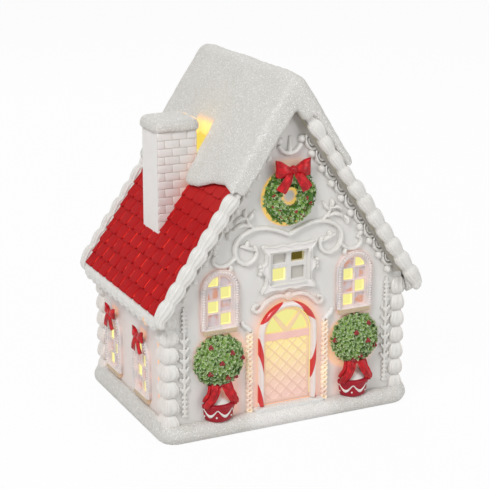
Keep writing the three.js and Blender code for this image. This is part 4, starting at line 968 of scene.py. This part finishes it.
def rake(name, side, end, rear=False):
    """Dollops of icing up the sloping edge of a gable, which starts with a round foot at the eave."""
    back, front = ROOF_HALF_DEPTH + 0.3, SNOW_HALF_DEPTH - 0.6
    mid_v, half_v = (back + front) / 2, (front - back) / 2
    pitch, steps, sides = 14.0, 12, 60
    stations = [(-5.4, 0.40, -2.6, 0.0), (-5.1, 0.62, -1.8, 0.0), (-4.2, 0.82, -0.8, 0.0),
                (-2.6, 0.93, 0.6, 0.0)]
    count = int((end + 1) / pitch)

    def top_at(u):
        return between(2.8, 1.0, smooth_step(88.0, 104.0, u)) + 2.6 * smooth_step(134.0, 148.0, u)

    for k in range(count):
        for i in range(steps):
            share = (i + 0.5) / steps
            u = pitch * (k + share) - 1
            stations.append((u, swell(share), top_at(u), share))
    last = pitch * count - 1
    stations += [(last, 0.66, top_at(last) - 0.6, 1.0), (last + 7, 0.6, top_at(last + 7) - 1.6, 1.0)]
    if end > 100:
        stations.append((last + 17, 0.6, 1.0, 1.0))
    rings = []
    for u, size, top, share in stations:
        ring = []
        mid_n, half_n = (top - 8) / 2, (top + 8) / 2
        for a in circle(sides):
            fluted = flute(a, 0.9 * share)
            c, s = math.cos(a), math.sin(a)
            dv = squarer(c, 0.8) * half_v * fluted * (size if c > -0.2 else 1.0)
            dn = squarer(s, 0.8) * half_n * size * (fluted if s > -0.3 else 1.0)
            v = mid_v + dv
            ring.append(slope_point(u, v if rear else -v, mid_n + dn, side))
        rings.append(ring)
    clay = Clay()
    clay.loft(rings)
    clay.piece(name + "_piped", TRIM, [name], "trim_white")


rake("rake_icing_front_left", -1, 98)
rake("rake_icing_front_right", 1, 156)
rake("rake_icing_rear_right", 1, 98, True)
rake("rake_icing_rear_left", -1, 156, True)


def eave(side_name, side):
    """Dollops of icing along an eave, hollowed at the back where the wall and the roof are."""
    centre_x, centre_z = EAVE[0] + 2.4, EAVE[1] - 4.3
    length = 2 * (ROOF_HALF_DEPTH - 0.5)
    bumps, steps, sides = 12, 10, 44
    rings = []
    for i in range(bumps * steps + 1):
        y = -length / 2 + length * i / (bumps * steps)
        share = (i % steps) / steps
        size = swell(share + 0.04)
        ring = []
        for a in circle(sides):
            puff = size * flute(a, 1.3 * share, 10, 0.07)
            x = centre_x + 3.7 * puff * math.cos(a)
            z = centre_z + (4.3 if math.sin(a) > 0 else 7.4 * size) * puff * math.sin(a)
            if x > EAVE[0] + 3.0:
                under_roof = EAVE[1] + ((x - EAVE[0]) * RISE / RUN) - 10.0
                z = min(z, max(under_roof, centre_z - 2.0))
            ring.append((-side * x, y, z))
        rings.append(ring)
    clay = Clay()
    clay.loft(rings)
    name = "eave_icing_" + side_name
    clay.piece(name + "_piped", TRIM, [name], "trim_white")


eave("left", -1)
eave("right", 1)


PILLOWS = 7
PILLOW_PITCH = 12.6
PILLOW_FOOT = 7.4


def corner_outline(proud, puff):
    """The outline of the icing round the corner at the least X and Y, proud of both walls."""
    x0, y0 = -SIDE_X - proud, FRONT_Y - proud
    end_x, end_y = -SIDE_X + 5.8 + proud, FRONT_Y + 8.6 + proud
    bevel = 1.5 * puff
    return [(end_x, FRONT_Y + 1.2), (end_x - 0.2, y0 + 0.9), (end_x - 1.4, y0 + 0.1),
            (end_x - 3.0, y0 - 0.1), (x0 + 3.4 * bevel, y0 - 0.1), (x0 + 2 * bevel, y0 + 0.15),
            (x0 + 0.9 * bevel, y0 + 0.8 * bevel),
            (x0 + 0.15, y0 + 2 * bevel), (x0 - 0.1, y0 + 3.6 * bevel), (x0 - 0.1, end_y - 3.4),
            (x0 + 0.1, end_y - 1.5), (x0 + 0.9, end_y - 0.2), (-SIDE_X + 1.2, end_y),
            (-SIDE_X + 1.2, FRONT_Y + 1.2)]


def quoin(name, sx, sy):
    """Ribbed pillows of icing wrapped round the corner of the walls on the sides sx and sy."""
    stations = []
    steps = 12
    for k in range(PILLOWS):
        for i in range(steps):
            share = i / steps
            puff = 0.12 + 0.88 * math.sin(math.pi * share ** 0.8) ** 0.8
            stations.append((PILLOW_FOOT + PILLOW_PITCH * (k + share), 3.3 * puff, puff))
    stations.append((PILLOW_FOOT + PILLOW_PITCH * PILLOWS, 0.8, 0.3))
    rings = []
    for z, proud, puff in stations:
        path = corner_outline(proud, puff)
        dense = []
        for (x, y), (next_x, next_y) in zip(path, path[1:] + path[:1]):
            for t in (0.0, 0.25, 0.5, 0.75):
                dense.append((between(x, next_x, t), between(y, next_y, t)))
        ring = []
        for j, (x, y) in enumerate(dense):
            rib = 0.9 * puff * (abs(math.cos(j * 0.52)) - 0.7) if j < 46 else 0.0
            dx, dy = x + 80.0, y + 52.0
            norm = math.hypot(dx, dy)
            ring.append((-sx * (x + dx / norm * rib), -sy * (y + dy / norm * rib), z))
        rings.append(ring)
    clay = Clay()
    clay.loft(rings)
    clay.piece(name + "_piped", TRIM, [name], "trim_white")


quoin("quoin_front_left", -1, -1)
quoin("quoin_front_right", 1, -1)
quoin("quoin_rear_left", -1, 1)
quoin("quoin_rear_right", 1, 1)


def drips(name, side):
    """Double scallops hung between pearls, down the edge of the gable."""
    clay = Clay()
    top, pitch, pearls = SLOPE_LENGTH - 34.8, 13.95, 10

    def at(u, n):
        x, _, z = slope_point(u, 0.0, n, side)
        return x, z

    for k in range(pearls):
        u = top - k * pitch
        ball(clay, (*at(u, -13.5), 1.3), (2.6, 2.8, 2.9), on_front, 16, 10)
        if k == pearls - 1:
            continue
        middle = u - 6.97
        for grow, half_width, height in ((1.0, 1.2, 3.2), (0.5, 0.9, 2.0)):
            arc = [at(middle + 6.2 * grow * math.cos(a), -8.4 - 4.5 * grow * math.sin(a))
                   for a in half_turn(14)]
            bead(clay, arc, half_width, height, on_front, lambda t: 0.72 + 0.4 * math.sin(math.pi * t))
    clay.piece(name + "_piped", TRIM, [name], "trim_white")


drips("drip_trim_left", -1)
drips("drip_trim_right", 1)


# Relief on the front wall

def plump(_, normal):
    """Relief a little fuller than its solid."""
    return normal * 0.45


cast("gable_scroll", TRIM, 0.36, 4, plump)
cast("gable_fleur", TRIM, 0.3, 3, plump)
cast("door_pediment", TRIM, 0.32, 4, plump)
cast("attic_window", WINDOW, 0.32, 4)
cast("door_panel", DOOR, 0.36, 2)
for side in ("left", "right"):
    cast("pilaster_" + side, TRIM, 0.3, 3)
    cast("front_window_" + side, WINDOW, 0.34, 3)
    for end in ("front", "rear"):
        cast("side_window_%s_%s" % (side, end), WINDOW, 0.36, 3)


def scroll_leaves():
    """Plump leaves on the stems of the gable's scroll."""
    clay = Clay()
    leaves = [[(31.8, 153.4), (29.2, 155.6), (27.8, 158.6)], [(33.2, 155.4), (34.0, 158), (33.6, 161)],
              [(33, 154.6), (38, 155), (42.2, 151.8)], [(31, 149.2), (37, 150.2), (43.4, 147)],
              [(43, 147.6), (46.4, 145), (46.2, 140.8)], [(27, 131.6), (31.4, 133.4), (37, 135.4)],
              [(31, 132.6), (32.4, 135.4), (31.4, 138.4)], [(55.4, 131.6), (57.4, 133.8), (56.2, 137)],
              [(46, 123.6), (44.6, 120.6), (46.2, 117.8)]]
    for turn in (-1, 1):
        for points in leaves:
            path = [(turn * x, z) for x, z in spline(points, 5)]
            bead(clay, path, 1.6, 3.0, on_front, lambda t: 0.6 + 0.5 * math.sin(math.pi * t))
    clay.piece("gable_scroll_leaves", TRIM, slot="trim_white")


def attic_frame():
    """Thin lines of icing round the attic window: a bracketed outer one and a straight inner one."""
    clay = Clay()
    top = [(-21.0, 133.4), (-16, 132), (-10.5, 131.4), (-5, 132.2), (0, 131),
           (5, 132.2), (10.5, 131.4), (16, 132), (21.0, 133.4)]
    low = [(x, 2 * ATTIC_Z - z) for x, z in top]
    edge = [(21.0, 133.4), (19.6, 130), (17.6, 127), (17.6, 121), (19.8, 118.6), (20.4, ATTIC_Z)]
    edge += [(x, 2 * ATTIC_Z - z) for x, z in edge[-2::-1]]
    for line in (top, low, edge, [(-x, z) for x, z in edge]):
        bead(clay, spline(line, 4), 1.0, 3.4, on_front)
    inner = [(-15.6, 103.8), (15.6, 103.8), (15.6, 128.2), (-15.6, 128.2), (-15.6, 103.8)]
    for (x0, z0), (x1, z1) in zip(inner, inner[1:]):
        line = [(between(x0, x1, i / 12), between(z0, z1, i / 12)) for i in range(13)]
        bead(clay, line, 0.9, 3.9, on_front)
    for x in (-21.6, 21.6):
        for dx, dz in ((0.0, 0.0), (0.6, 2.6), (0.6, -2.6)):
            ball(clay, (x + math.copysign(dx, x), ATTIC_Z + dz, 1.4), (1.6, 1.6, 1.9), on_front)
    clay.piece("attic_frame_piped", TRIM, slot="trim_white")


scroll_leaves()
attic_frame()


def window_ribs(name, middle, drop, where):
    """Small ribs across the frame of an arched window, notches under its sill and a line each side."""
    clay = Clay()
    foot, spring = 79.0 - drop, WINDOW_SPRING_Z - drop
    sill = 76.4 - drop
    radius = 12.6
    stations = []
    for i in range(15):
        z = foot + 0.6 + i * (spring - foot) / 15
        stations += [(middle - radius, z, 1.0, 0.0), (middle + radius, z, 1.0, 0.0)]
    for a in half_turn(18):
        c, s = math.cos(a), math.sin(a)
        stations.append((middle + radius * c, spring + radius * s, c, s))
    for x, z, nx, nz in stations:
        ends = [(x - nx * 1.4, z - nz * 1.4), (x, z), (x + nx * 1.4, z + nz * 1.4)]
        bead(clay, spline(ends, 2), 0.66, 3.9, where, sides=8)
    for i in range(13):
        x = middle - 11.4 + i * 1.9
        bead(clay, [(x, sill - 1.5), (x, sill), (x, sill + 1.5)], 0.6, 4.2, where, sides=8)
    for offset in (11.2, 14.0):
        path = [(middle - offset, foot - 1.2), (middle - offset, foot + 8), (middle - offset, spring - 8)]
        for i in range(17):
            a = math.pi * (1 - i / 16)
            path.append((middle + offset * math.cos(a), spring + offset * math.sin(a)))
        path += [(middle + offset, spring - 8), (middle + offset, foot + 8), (middle + offset, foot - 1.2)]
        bead(clay, path, 0.5, 2.95, where, sides=8)
    clay.piece(name, WINDOW, slot="trim_white")


window_ribs("front_window_ribs_left", -WINDOW_X, 0.0, on_front)
window_ribs("front_window_ribs_right", WINDOW_X, 0.0, on_front)
for end, y in SIDE_WINDOW_YS.items():
    window_ribs("side_window_ribs_left_" + end, y, SIDE_WINDOW_DROP, on_left)
    window_ribs("side_window_ribs_right_" + end, y, SIDE_WINDOW_DROP, on_right)


# Doorway

def candy_arch():
    """A cane bent over the door, with slanting red stripes up the legs and one at each shoulder."""
    foot, leg_top = 15, 67
    path = [(-DOOR_ARCH_RADIUS, z) for z in range(foot, leg_top)]
    for i in range(61):
        a = math.pi * (1 - i / 60)
        path.append((DOOR_ARCH_RADIUS * math.cos(a), DOOR_SPRING_Z + DOOR_ARCH_RADIUS * math.sin(a)))
    path += [(DOOR_ARCH_RADIUS, z) for z in range(leg_top - 1, foot - 1, -1)]
    rings, marks = [], []
    crown = math.pi * DOOR_ARCH_RADIUS / 2 + DOOR_SPRING_Z
    run = float(foot)
    for i, (x, z) in enumerate(path):
        if i:
            run += math.hypot(x - path[i - 1][0], z - path[i - 1][1])
        nx, nz = sideways(path, i)
        rising = run < crown
        along = run if rising else 2 * crown - run
        centre, pitch, shoulder = (51.0, 35.6, 79.0) if rising else (46.0, 38.6, 76.0)
        ring = []
        for a in circle(16):
            across = math.cos(a) * 2.25
            out = max(math.sin(a), -0.1) * 3.6
            ring.append(on_front(x + nx * across, z + nz * across, out))
            if along < DOOR_SPRING_Z:
                phase = (along - centre - 4.2 * across) / pitch
                inside = 6.8 - abs(phase - math.floor(phase + 0.5)) * pitch
            else:
                inside = min(91.0 + 2.6 * across - along, along - shoulder + 1.6 * across)
            marks.append(0.5 + inside * 0.08)
        rings.append(ring)
    clay = Clay()
    clay.loft(rings, stripe=marks)
    clay.piece("candy_arch_glazed", CANDY, ["candy_arch"], "candy_stripe")


candy_arch()


def rope(name, side):
    """Two strands of icing that weave a chain of small rings, with a curled leaf at the head."""
    clay = Clay()
    turns, low, high, steps = 8.5, 11.6, 74.0, 170
    for strand, height in ((0.0, 2.8), (math.pi, 2.4)):
        path = []
        for i in range(steps + 1):
            a = strand + 2 * math.pi * turns * i / steps
            path.append((side * ROPE_X + 1.75 * math.sin(a), low + (high - low) * i / steps))
        bead(clay, path, 0.95, height, on_front, sides=8)
    curl = [(side * x, z) for x, z in spline([(30, 73), (31.6, 75), (34.4, 77.4), (35.6, 80.6)], 6)]
    bead(clay, curl, 2.2, 3.0, on_front, lambda t: 1.1 - 0.45 * t)
    clay.piece(name + "_woven", ROPE, [name], "trim_white")


rope("rope_column_left", -1)
rope("rope_column_right", 1)


# Leaves and berries

LEAF_SHAPE = [(0.0, 0.0, 0.0), (0.42, 0.30, 0.10), (0.5, 0.62, 0.16), (0.0, 1.0, 0.02), (-0.5, 0.62, 0.16),
              (-0.42, 0.30, 0.10), (0.0, 0.5, 0.0)]
LEAF_FACES = [[0, 1, 6], [1, 2, 6], [2, 3, 6], [3, 4, 6], [4, 5, 6], [5, 0, 6]]
LEAF_TIPS = [0.0, 0.45, 0.75, 1.0, 0.75, 0.45, 0.35]


def leaf(clay, at, normal, heading, length, width, tilt, tint):
    """A leaf that starts at a point, heads along the surface there and is tilted off it."""
    normal = normal.normalized()
    along = (heading - normal * heading.dot(normal)).normalized()
    across = normal.cross(along)
    along, normal = (along * math.cos(tilt) + normal * math.sin(tilt),
                     normal * math.cos(tilt) - along * math.sin(tilt))
    points = []
    for a, b, c in LEAF_SHAPE:
        points.append(at + across * (a * width) + along * (b * length) + normal * (c * width))
    clay.add(points, LEAF_FACES, tip=LEAF_TIPS, tint=min(max(tint + chance.uniform(-0.2, 0.2), 0.0), 1.0))


def leafy_mound(clay, centre_x, centre_z, radius, depth, count, core, size):
    """A half ball of overlapping leaf rosettes on a core."""
    points = []
    rows = 13
    for j in range(rows):
        v = math.pi / 2 * j / (rows - 1)
        r = radius * core * math.cos(v)
        for a in circle(40):
            points.append(on_front(centre_x + r * math.cos(a), centre_z + r * math.sin(a),
                                   depth * core * math.sin(v)))
    clay.add(points, quads(rows, 40), tip=0.0, tint=0.15)
    for k in range(count):
        high = (k + 0.5) / count
        flat = math.sqrt(1 - high * high)
        a = k * GOLDEN_ANGLE
        direction = Vector((flat * math.cos(a), flat * math.sin(a), high))
        x, z, out = direction.x * radius * core, direction.y * radius * core, direction.z * depth * core
        at = Vector(on_front(centre_x + x, centre_z + z, max(out, 0.5)))
        normal = Vector((direction.x / radius, -direction.z / depth, direction.y / radius)).normalized()
        spin = chance.uniform(0, 2 * math.pi)
        tint = chance.uniform(0.15, 0.95)
        for turn in circle(6):
            b = spin + turn
            heading = Vector((math.cos(b), 0.25 * math.cos(b * 2), math.sin(b)))
            length = size * chance.uniform(0.75, 1.15)
            leaf(clay, at, normal, heading, length, size * 0.5, chance.uniform(0.25, 0.6), tint)


def topiary_ball(side_name, side, berries):
    """A leafy ball with berries in threes at the given places."""
    clay = Clay()
    leafy_mound(clay, side * TOPIARY_X, BALL_Z, BALL_RADIUS, BALL_DEPTH - 0.9, 92, 0.88, 5.0)
    name = "topiary_ball_" + side_name
    clay.piece(name + "_leaves", LEAF, [name], "leaf_green")
    fruit = Clay()
    for x, z in berries:
        share = min(math.hypot(x - side * TOPIARY_X, z - BALL_Z) / BALL_RADIUS, 0.97)
        out = BALL_DEPTH * math.sqrt(1 - share * share)
        for dx, dz in ((0.0, 0.9), (-1.0, -0.5), (1.0, -0.6)):
            ball(fruit, (x + dx, z + dz, out - 0.5), (1.15, 1.15, 1.15), on_front, 10, 7)
    fruit.piece("topiary_berries_" + side_name, BERRY, slot="leaf_green")


topiary_ball("left", -1, [(-62.5, 67.5), (-47.5, 62.5), (-63.8, 49.0), (-50.5, 44.5), (-43.5, 43.5),
                          (-38.0, 56.5), (-56.0, 56.5)])
topiary_ball("right", 1, [(50.5, 62.0), (36.5, 56.5), (62.0, 67.0), (55.0, 43.5), (50.5, 40.5),
                          (68.0, 49.0), (60.0, 55.0)])


def wreath():
    """A ring of leaves on a round core, with berries in threes round it."""
    clay = Clay()
    points, faces = [], []
    wide, section = 48, 16
    for a in circle(wide):
        for b in circle(section):
            r = WREATH_RADIUS + WREATH_TUBE * 0.86 * math.cos(b)
            out = max(math.sin(b), -0.05) * WREATH_TUBE * 0.84
            points.append(on_front(r * math.cos(a), WREATH_Z + r * math.sin(a), out))
    for i in range(wide):
        for j in range(section):
            c, d = i * section, ((i + 1) % wide) * section
            k = (j + 1) % section
            faces.append([c + j, c + k, d + k, d + j])
    clay.add(points, faces, tip=0.0, tint=0.1)
    for k in range(110):
        a = k * GOLDEN_ANGLE
        b = math.pi * chance.random()
        radial = Vector((math.cos(a), 0, math.sin(a)))
        normal = radial * math.cos(b) + Vector((0, -1, 0)) * math.sin(b)
        at = Vector((0, FRONT_Y, WREATH_Z)) + radial * WREATH_RADIUS + normal * WREATH_TUBE * 0.80
        ring = Vector((-math.sin(a), 0, math.cos(a)))
        tint = chance.uniform(0.35, 1.0)
        for petal in range(3):
            swing = chance.uniform(-0.9, 0.9) + petal * 2.1
            heading = ring * math.cos(swing) + normal.cross(ring) * math.sin(swing)
            leaf(clay, at, normal, heading, chance.uniform(3.4, 4.8), 2.4, chance.uniform(0.3, 0.6), tint)
    clay.piece("wreath_leaves", LEAF, ["wreath"], "leaf_green")
    fruit = Clay()
    clusters = ((200, 2), (218, -1), (236, 2), (262, 1), (284, -2),
                (300, 2), (318, 0), (338, 2), (352, -2), (170, 1))
    for degrees, shift in clusters:
        a = math.radians(degrees)
        r = WREATH_RADIUS + shift
        x, z = r * math.cos(a), WREATH_Z + r * math.sin(a)
        for dx, dz in ((0.5, 0.5), (-0.8, -0.1), (0.4, -0.9)):
            ball(fruit, (x + dx, z + dz, 5.6), (0.9, 0.9, 0.9), on_front, 9, 6)
    fruit.piece("wreath_berries", BERRY, slot="leaf_green")


wreath()


# Ribbons

def ribbon_strip(clay, path, widths, thick, where, ripple=0.0, sides=16):
    """A soft strap along a path of (x, z, out), with a rounded oblong section."""
    rings = []
    for i, (x, z, out) in enumerate(path):
        nx, nz = sideways(path, i)
        place_on = i / (len(path) - 1) * (len(widths) - 1)
        k = min(int(place_on), len(widths) - 2)
        width = between(widths[k], widths[k + 1], place_on - k)
        ring = []
        for a in circle(sides):
            across = squarer(math.cos(a), 0.7) * width
            fold = ripple * math.cos(across / max(width, 0.1) * math.pi * 1.5)
            ring.append(where(x + nx * across, z + nz * across, out + thick * math.sin(a) + fold))
        rings.append(ring)
    clay.loft(rings)


def bow(clay, x, z, size, out, depth, where, drop=15.5):
    """Two full loops, two tails and a knot."""
    for side in (-1, 1):
        rings = []
        for i in range(13):
            t = i / 12
            reach = 1.2 + 11.4 * t
            tall = between(2.2, 6.2, smooth_step(0.0, 0.8, t))
            deep = (0.36 + 0.64 * math.sin(math.pi * min(t * 0.9 + 0.05, 1.0))) * depth * 0.5
            lift = 0.4 + 1.6 * t * t
            ring = []
            for a in circle(36):
                crease = 1.0 + 0.20 * math.cos(5 * a + 0.8) * (1 - t * 0.45)
                square_c, square_s = squarer(math.cos(a), 0.8), squarer(math.sin(a), 0.72)
                corner = 1.6 * t * t * abs(square_s)
                ring.append(where(x + side * size * (reach + corner * 0.5),
                                  z + size * (lift + tall * square_s),
                                  out + depth * 0.45 + deep * crease * square_c))
            rings.append(ring)
        clay.loft(rings)
        path = [(side * 1.0, -0.5), (side * 4.0, -4.2), (side * 6.8, 1.0 - drop * 0.60),
                (side * 9.4, 3.4 - drop), (side * 10.6, 1.4 - drop)]
        outs = [depth * 0.42, depth * 0.80, depth * 0.86, depth * 0.82, depth * 0.72]
        steps = spline([(x + a * size, z + b * size, out + c) for (a, b), c in zip(path, outs)], 6)
        widths = [w * size for w in (1.8, 3.0, 3.7, 4.2, 4.3)]
        ribbon_strip(clay, steps, widths, 1.0 * size, where, 0.75 * size, 28)
    knot = (2.9 * size, 3.1 * size, depth * 0.46)
    ball(clay, (x, z + 0.6 * size, out + depth * 0.5), knot, where, 16, 10)


bows = Clay()
bow(bows, 0.0, 186.2, 0.98, 2.9, 7.0, on_front)
bows.piece("wreath_bow_glazed", RIBBON, ["wreath_bow"], "bow_red")
for side, where in (("left", on_left), ("right", on_right)):
    for end, y in SIDE_WINDOW_YS.items():
        bows = Clay()
        bow(bows, y, 66.0, 0.66, 2.7, 3.6, where, 18.5)
        name = "side_bow_%s_%s" % (side, end)
        bows.piece(name + "_glazed", RIBBON, [name], "bow_red")


def pot_point(x, r, a, z):
    """A point on a pot at x, half of which stands out of the wall."""
    return (x + r * math.cos(a), FRONT_Y - POT_DEPTH * r * math.sin(a), z)


def half_round(clay, x, profile, steps):
    """A surface turned through half a turn from a profile of radii and heights."""
    points = [pot_point(x, r, a, z) for r, z in profile for a in half_turn(steps)]
    clay.add(points, quads(len(profile), steps + 1, closed=False))


def pot(side_name, x):
    clay = Clay()
    profile = [(0.0, 11.2), (8.6, 11.2), (9.8, 11.9), (10.6, 14.0), (11.2, 17.4), (11.6, 20.2),
               (11.7, 20.9), (12.3, 21.5), (12.4, 22.8), (12.1, 24.0), (11.2, 24.5), (9.4, 24.5),
               (0.0, 25.0)]
    half_round(clay, x, profile, 36)
    name = "topiary_pot_" + side_name
    clay.piece(name + "_glazed", POT, [name], "pot_red")


def pot_swags(side_name, x):
    """A swag round the pot, dots under it and the white mound that the tree grows from."""
    clay = Clay()
    rings = []
    for i in range(61):
        a = math.pi * between(0.01, 0.99, i / 60)
        dip = abs(math.sin(math.pi * (math.degrees(a) - 112) / 60)) ** 1.2
        z = 21.0 - 4.8 * dip
        r = 11.55 + (z - 20.0) * 0.12
        ring = []
        for b in circle(8):
            ring.append(pot_point(x, r + 0.4 * math.cos(b), a, z + (0.45 + 0.75 * dip) * math.sin(b)))
        rings.append(ring)
    clay.loft(rings)
    r = 10.8
    for degrees in (52, 116, 172):
        a = math.radians(degrees)
        dot = (x + r * math.cos(a), 15.4, POT_DEPTH * r * math.sin(a))
        ball(clay, dot, (0.75, 0.75, 0.5), on_front, 10, 6)
    mound = [(9.6, 24.2), (8.9, 25.0), (6.2, 27.6), (3.4, 30.8), (1.2, 33.2), (0.1, 33.8)]
    half_round(clay, x, mound, 24)
    clay.piece("topiary_swags_" + side_name, TRIM, slot="trim_white")


def pot_ribbon(side_name, x):
    """Two wide tails with a narrower one outside each, and the fold that joins them under the ball."""
    clay = Clay()
    tail = [(3.6, 39.0, 5.4), (4.6, 36.0, 6.6), (5.6, 32.6, 7.4), (8.0, 28.6, 7.6), (10.2, 25.4, 6.6),
            (11.0, 22.6, 5.4)]
    edge = [(7.6, 38.6, 3.6), (8.2, 35.6, 4.2), (9.0, 32.4, 4.4), (11.2, 28.6, 3.6), (12.0, 26.4, 2.6)]
    for turn in (-1, 1):
        steps = spline([(x + turn * a, b, c) for a, b, c in tail], 6)
        ribbon_strip(clay, steps, [3.9, 3.8, 3.3, 3.2, 3.0, 2.2], 1.2, on_front, 0.8, 28)
        steps = spline([(x + turn * a, b, c) for a, b, c in edge], 6)
        ribbon_strip(clay, steps, [1.2, 1.5, 1.6, 1.8, 1.0], 1.1, on_front, 0.5)
    ball(clay, (x, 38.0, 3.4), (5.6, 2.2, 3.4), on_front, 18, 8)
    name = "topiary_bow_" + side_name
    clay.piece(name + "_glazed", RIBBON, [name], "bow_red")


for side_name, x in (("left", -TOPIARY_X), ("right", TOPIARY_X)):
    pot(side_name, x)
    pot_swags(side_name, x)
    pot_ribbon(side_name, x)


# Chimney

def bricks():
    """Courses of low bricks on the front of the stack."""
    clay = Clay()
    course, pitch, half_joint = 5.8, 11.3, 0.22
    for k in range(15):
        z0 = STACK_TOP - (k + 1) * course
        stagger = 0.5 if k % 2 else 0.0
        for j in range(-1, 4):
            start = STACK_LEFT + (j + stagger) * pitch + half_joint
            x0, x1 = max(start, STACK_LEFT + 0.3), min(start + pitch - 2 * half_joint, STACK_RIGHT - 0.3)
            if x1 - x0 < 1.2:
                continue
            rings = []
            for inset, out in ((0.0, -0.6), (0.0, 0.12), (0.16, 0.34), (0.4, 0.42)):
                a0, a1 = x0 + inset, x1 - inset
                b0, b1 = z0 + half_joint + inset, z0 + course - half_joint - inset
                y = STACK_FRONT - out
                rings.append([(a0, y, b0), (a1, y, b0), (a1, y, b1), (a0, y, b1)])
            clay.loft(rings)
    clay.piece("chimney_bricks", CHIMNEY, slot="wall_glaze")


bricks()


# What keeps its own solid

PLAIN = {
    "house_walls": WALL, "roof_left": JOINT, "roof_right": JOINT, "chimney_stack": CHIMNEY,
    "bottom_cover": COVER, "battery_door": COVER, "switch_slider": SWITCH,
    "cell_1": JACKET, "cell_2": JACKET, "cell_3": JACKET,
    "contact_strip_front": NICKEL, "contact_strip_rear": NICKEL,
    "cover_screw_left": NICKEL, "cover_screw_right": NICKEL,
    "lamp_board": BOARD, "lamp_bulb": GLOBE,
}
for name, material in PLAIN.items():
    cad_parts[name].data.materials.clear()
    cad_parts[name].data.materials.append(material)


# Camera, fitted to the photograph

IMAGE = 489.0
FOCAL = 1485.42
CENTRE = (247.98, 227.97)
AZIMUTH, ELEVATION, ROLL = (math.radians(a) for a in (-25.97, 16.11, -0.21))
DISTANCE = 1.08931
AIM = Vector((0.0, 0.0, 0.127))
SENSOR = 36.0
back = Vector((math.sin(AZIMUTH) * math.cos(ELEVATION), -math.cos(AZIMUTH) * math.cos(ELEVATION),
               math.sin(ELEVATION)))
right = Vector((math.cos(AZIMUTH), math.sin(AZIMUTH), 0.0))
up = back.cross(right)
turned_right = right * math.cos(ROLL) - up * math.sin(ROLL)
turned_up = right * math.sin(ROLL) + up * math.cos(ROLL)
turned = Matrix((turned_right, turned_up, back)).transposed().to_4x4()
camera = bpy.data.objects.new("camera", bpy.data.cameras.new("camera"))
bpy.context.scene.collection.objects.link(camera)
camera.matrix_world = Matrix.Translation(AIM + back * DISTANCE) @ turned
camera.data.sensor_width = SENSOR
camera.data.lens = SENSOR * FOCAL / IMAGE
camera.data.shift_x = (IMAGE / 2 - CENTRE[0]) / IMAGE
camera.data.shift_y = (CENTRE[1] - IMAGE / 2) / IMAGE
bpy.context.scene.camera = camera


# Floor, backdrop and light

def seen_white(tree, shader, share):
    """What the camera and mirrors see is nearly white, while the surface still takes shadows."""
    rays = tree.node("ShaderNodeLightPath").out.node
    seen = Socket(tree, rays.outputs["Is Camera Ray"]).high(Socket(tree, rays.outputs["Is Glossy Ray"]))
    seen = seen.high(Socket(tree, rays.outputs["Is Transmission Ray"]))
    white = tree.node("ShaderNodeEmission", {}, {"Color": (1.0, 1.0, 1.0), "Strength": 1.0})
    return tree.node("ShaderNodeMixShader", {}, {0: seen * share, 1: shader, 2: white})


def clear_from_below(tree, shader):
    """The floor's underside lets the view through, so that the object's underside can be looked at."""
    clear = tree.node("ShaderNodeBsdfTransparent")
    below = tree.node("ShaderNodeNewGeometry", output="Backfacing")
    return tree.node("ShaderNodeMixShader", {}, {0: below, 1: shader, 2: clear})


FLOOR_REACH = 4.0
floor_mesh = bpy.data.meshes.new("floor")
corners = [(a * FLOOR_REACH, b * FLOOR_REACH, 0) for a, b in ((-1, -1), (1, -1), (1, 1), (-1, 1))]
floor_mesh.from_pydata(corners, [], [[0, 1, 2, 3]])
floor = bpy.data.objects.new("floor", floor_mesh)
bpy.context.scene.collection.objects.link(floor)
paper = bpy.data.materials.new("pale_paper")
tree = tree_of(paper)
matt = tree.nodes["Principled BSDF"]
tree.feed(matt.inputs["Base Color"], (0.8, 0.8, 0.8))
tree.feed(matt.inputs["Roughness"], 0.9)
pale = seen_white(tree, Socket(tree, matt.outputs[0]), 0.95)
tree.feed(tree.nodes["Material Output"].inputs[0], clear_from_below(tree, pale))
floor_mesh.materials.append(paper)

world = bpy.data.worlds.new("studio")
bpy.context.scene.world = world
tree = tree_of(world)
dim = tree.nodes["Background"]
tree.feed(dim.inputs["Color"], (1.0, 1.0, 1.0))
tree.feed(dim.inputs["Strength"], 0.40)
tree.feed(tree.nodes["World Output"].inputs[0], seen_white(tree, Socket(tree, dim.outputs[0]), 1.0))


def soft_light(name, at, size, power):
    lamp = bpy.data.lights.new(name, "AREA")
    lamp.shape = "DISK"
    lamp.size = size
    lamp.energy = power
    holder = bpy.data.objects.new(name, lamp)
    holder.location = at
    holder.rotation_euler = (Vector((0, 0, 0.1)) - Vector(at)).to_track_quat("-Z", "Y").to_euler()
    bpy.context.scene.collection.objects.link(holder)


soft_light("key", (-1.0, -0.76, 1.2), 0.5, 14.5)
soft_light("fill", (0.9, -1.3, 0.7), 1.0, 6.4)
soft_light("back", (0.3, 1.2, 1.1), 0.9, 6.0)

bpy.context.scene.view_settings.view_transform = "Standard"
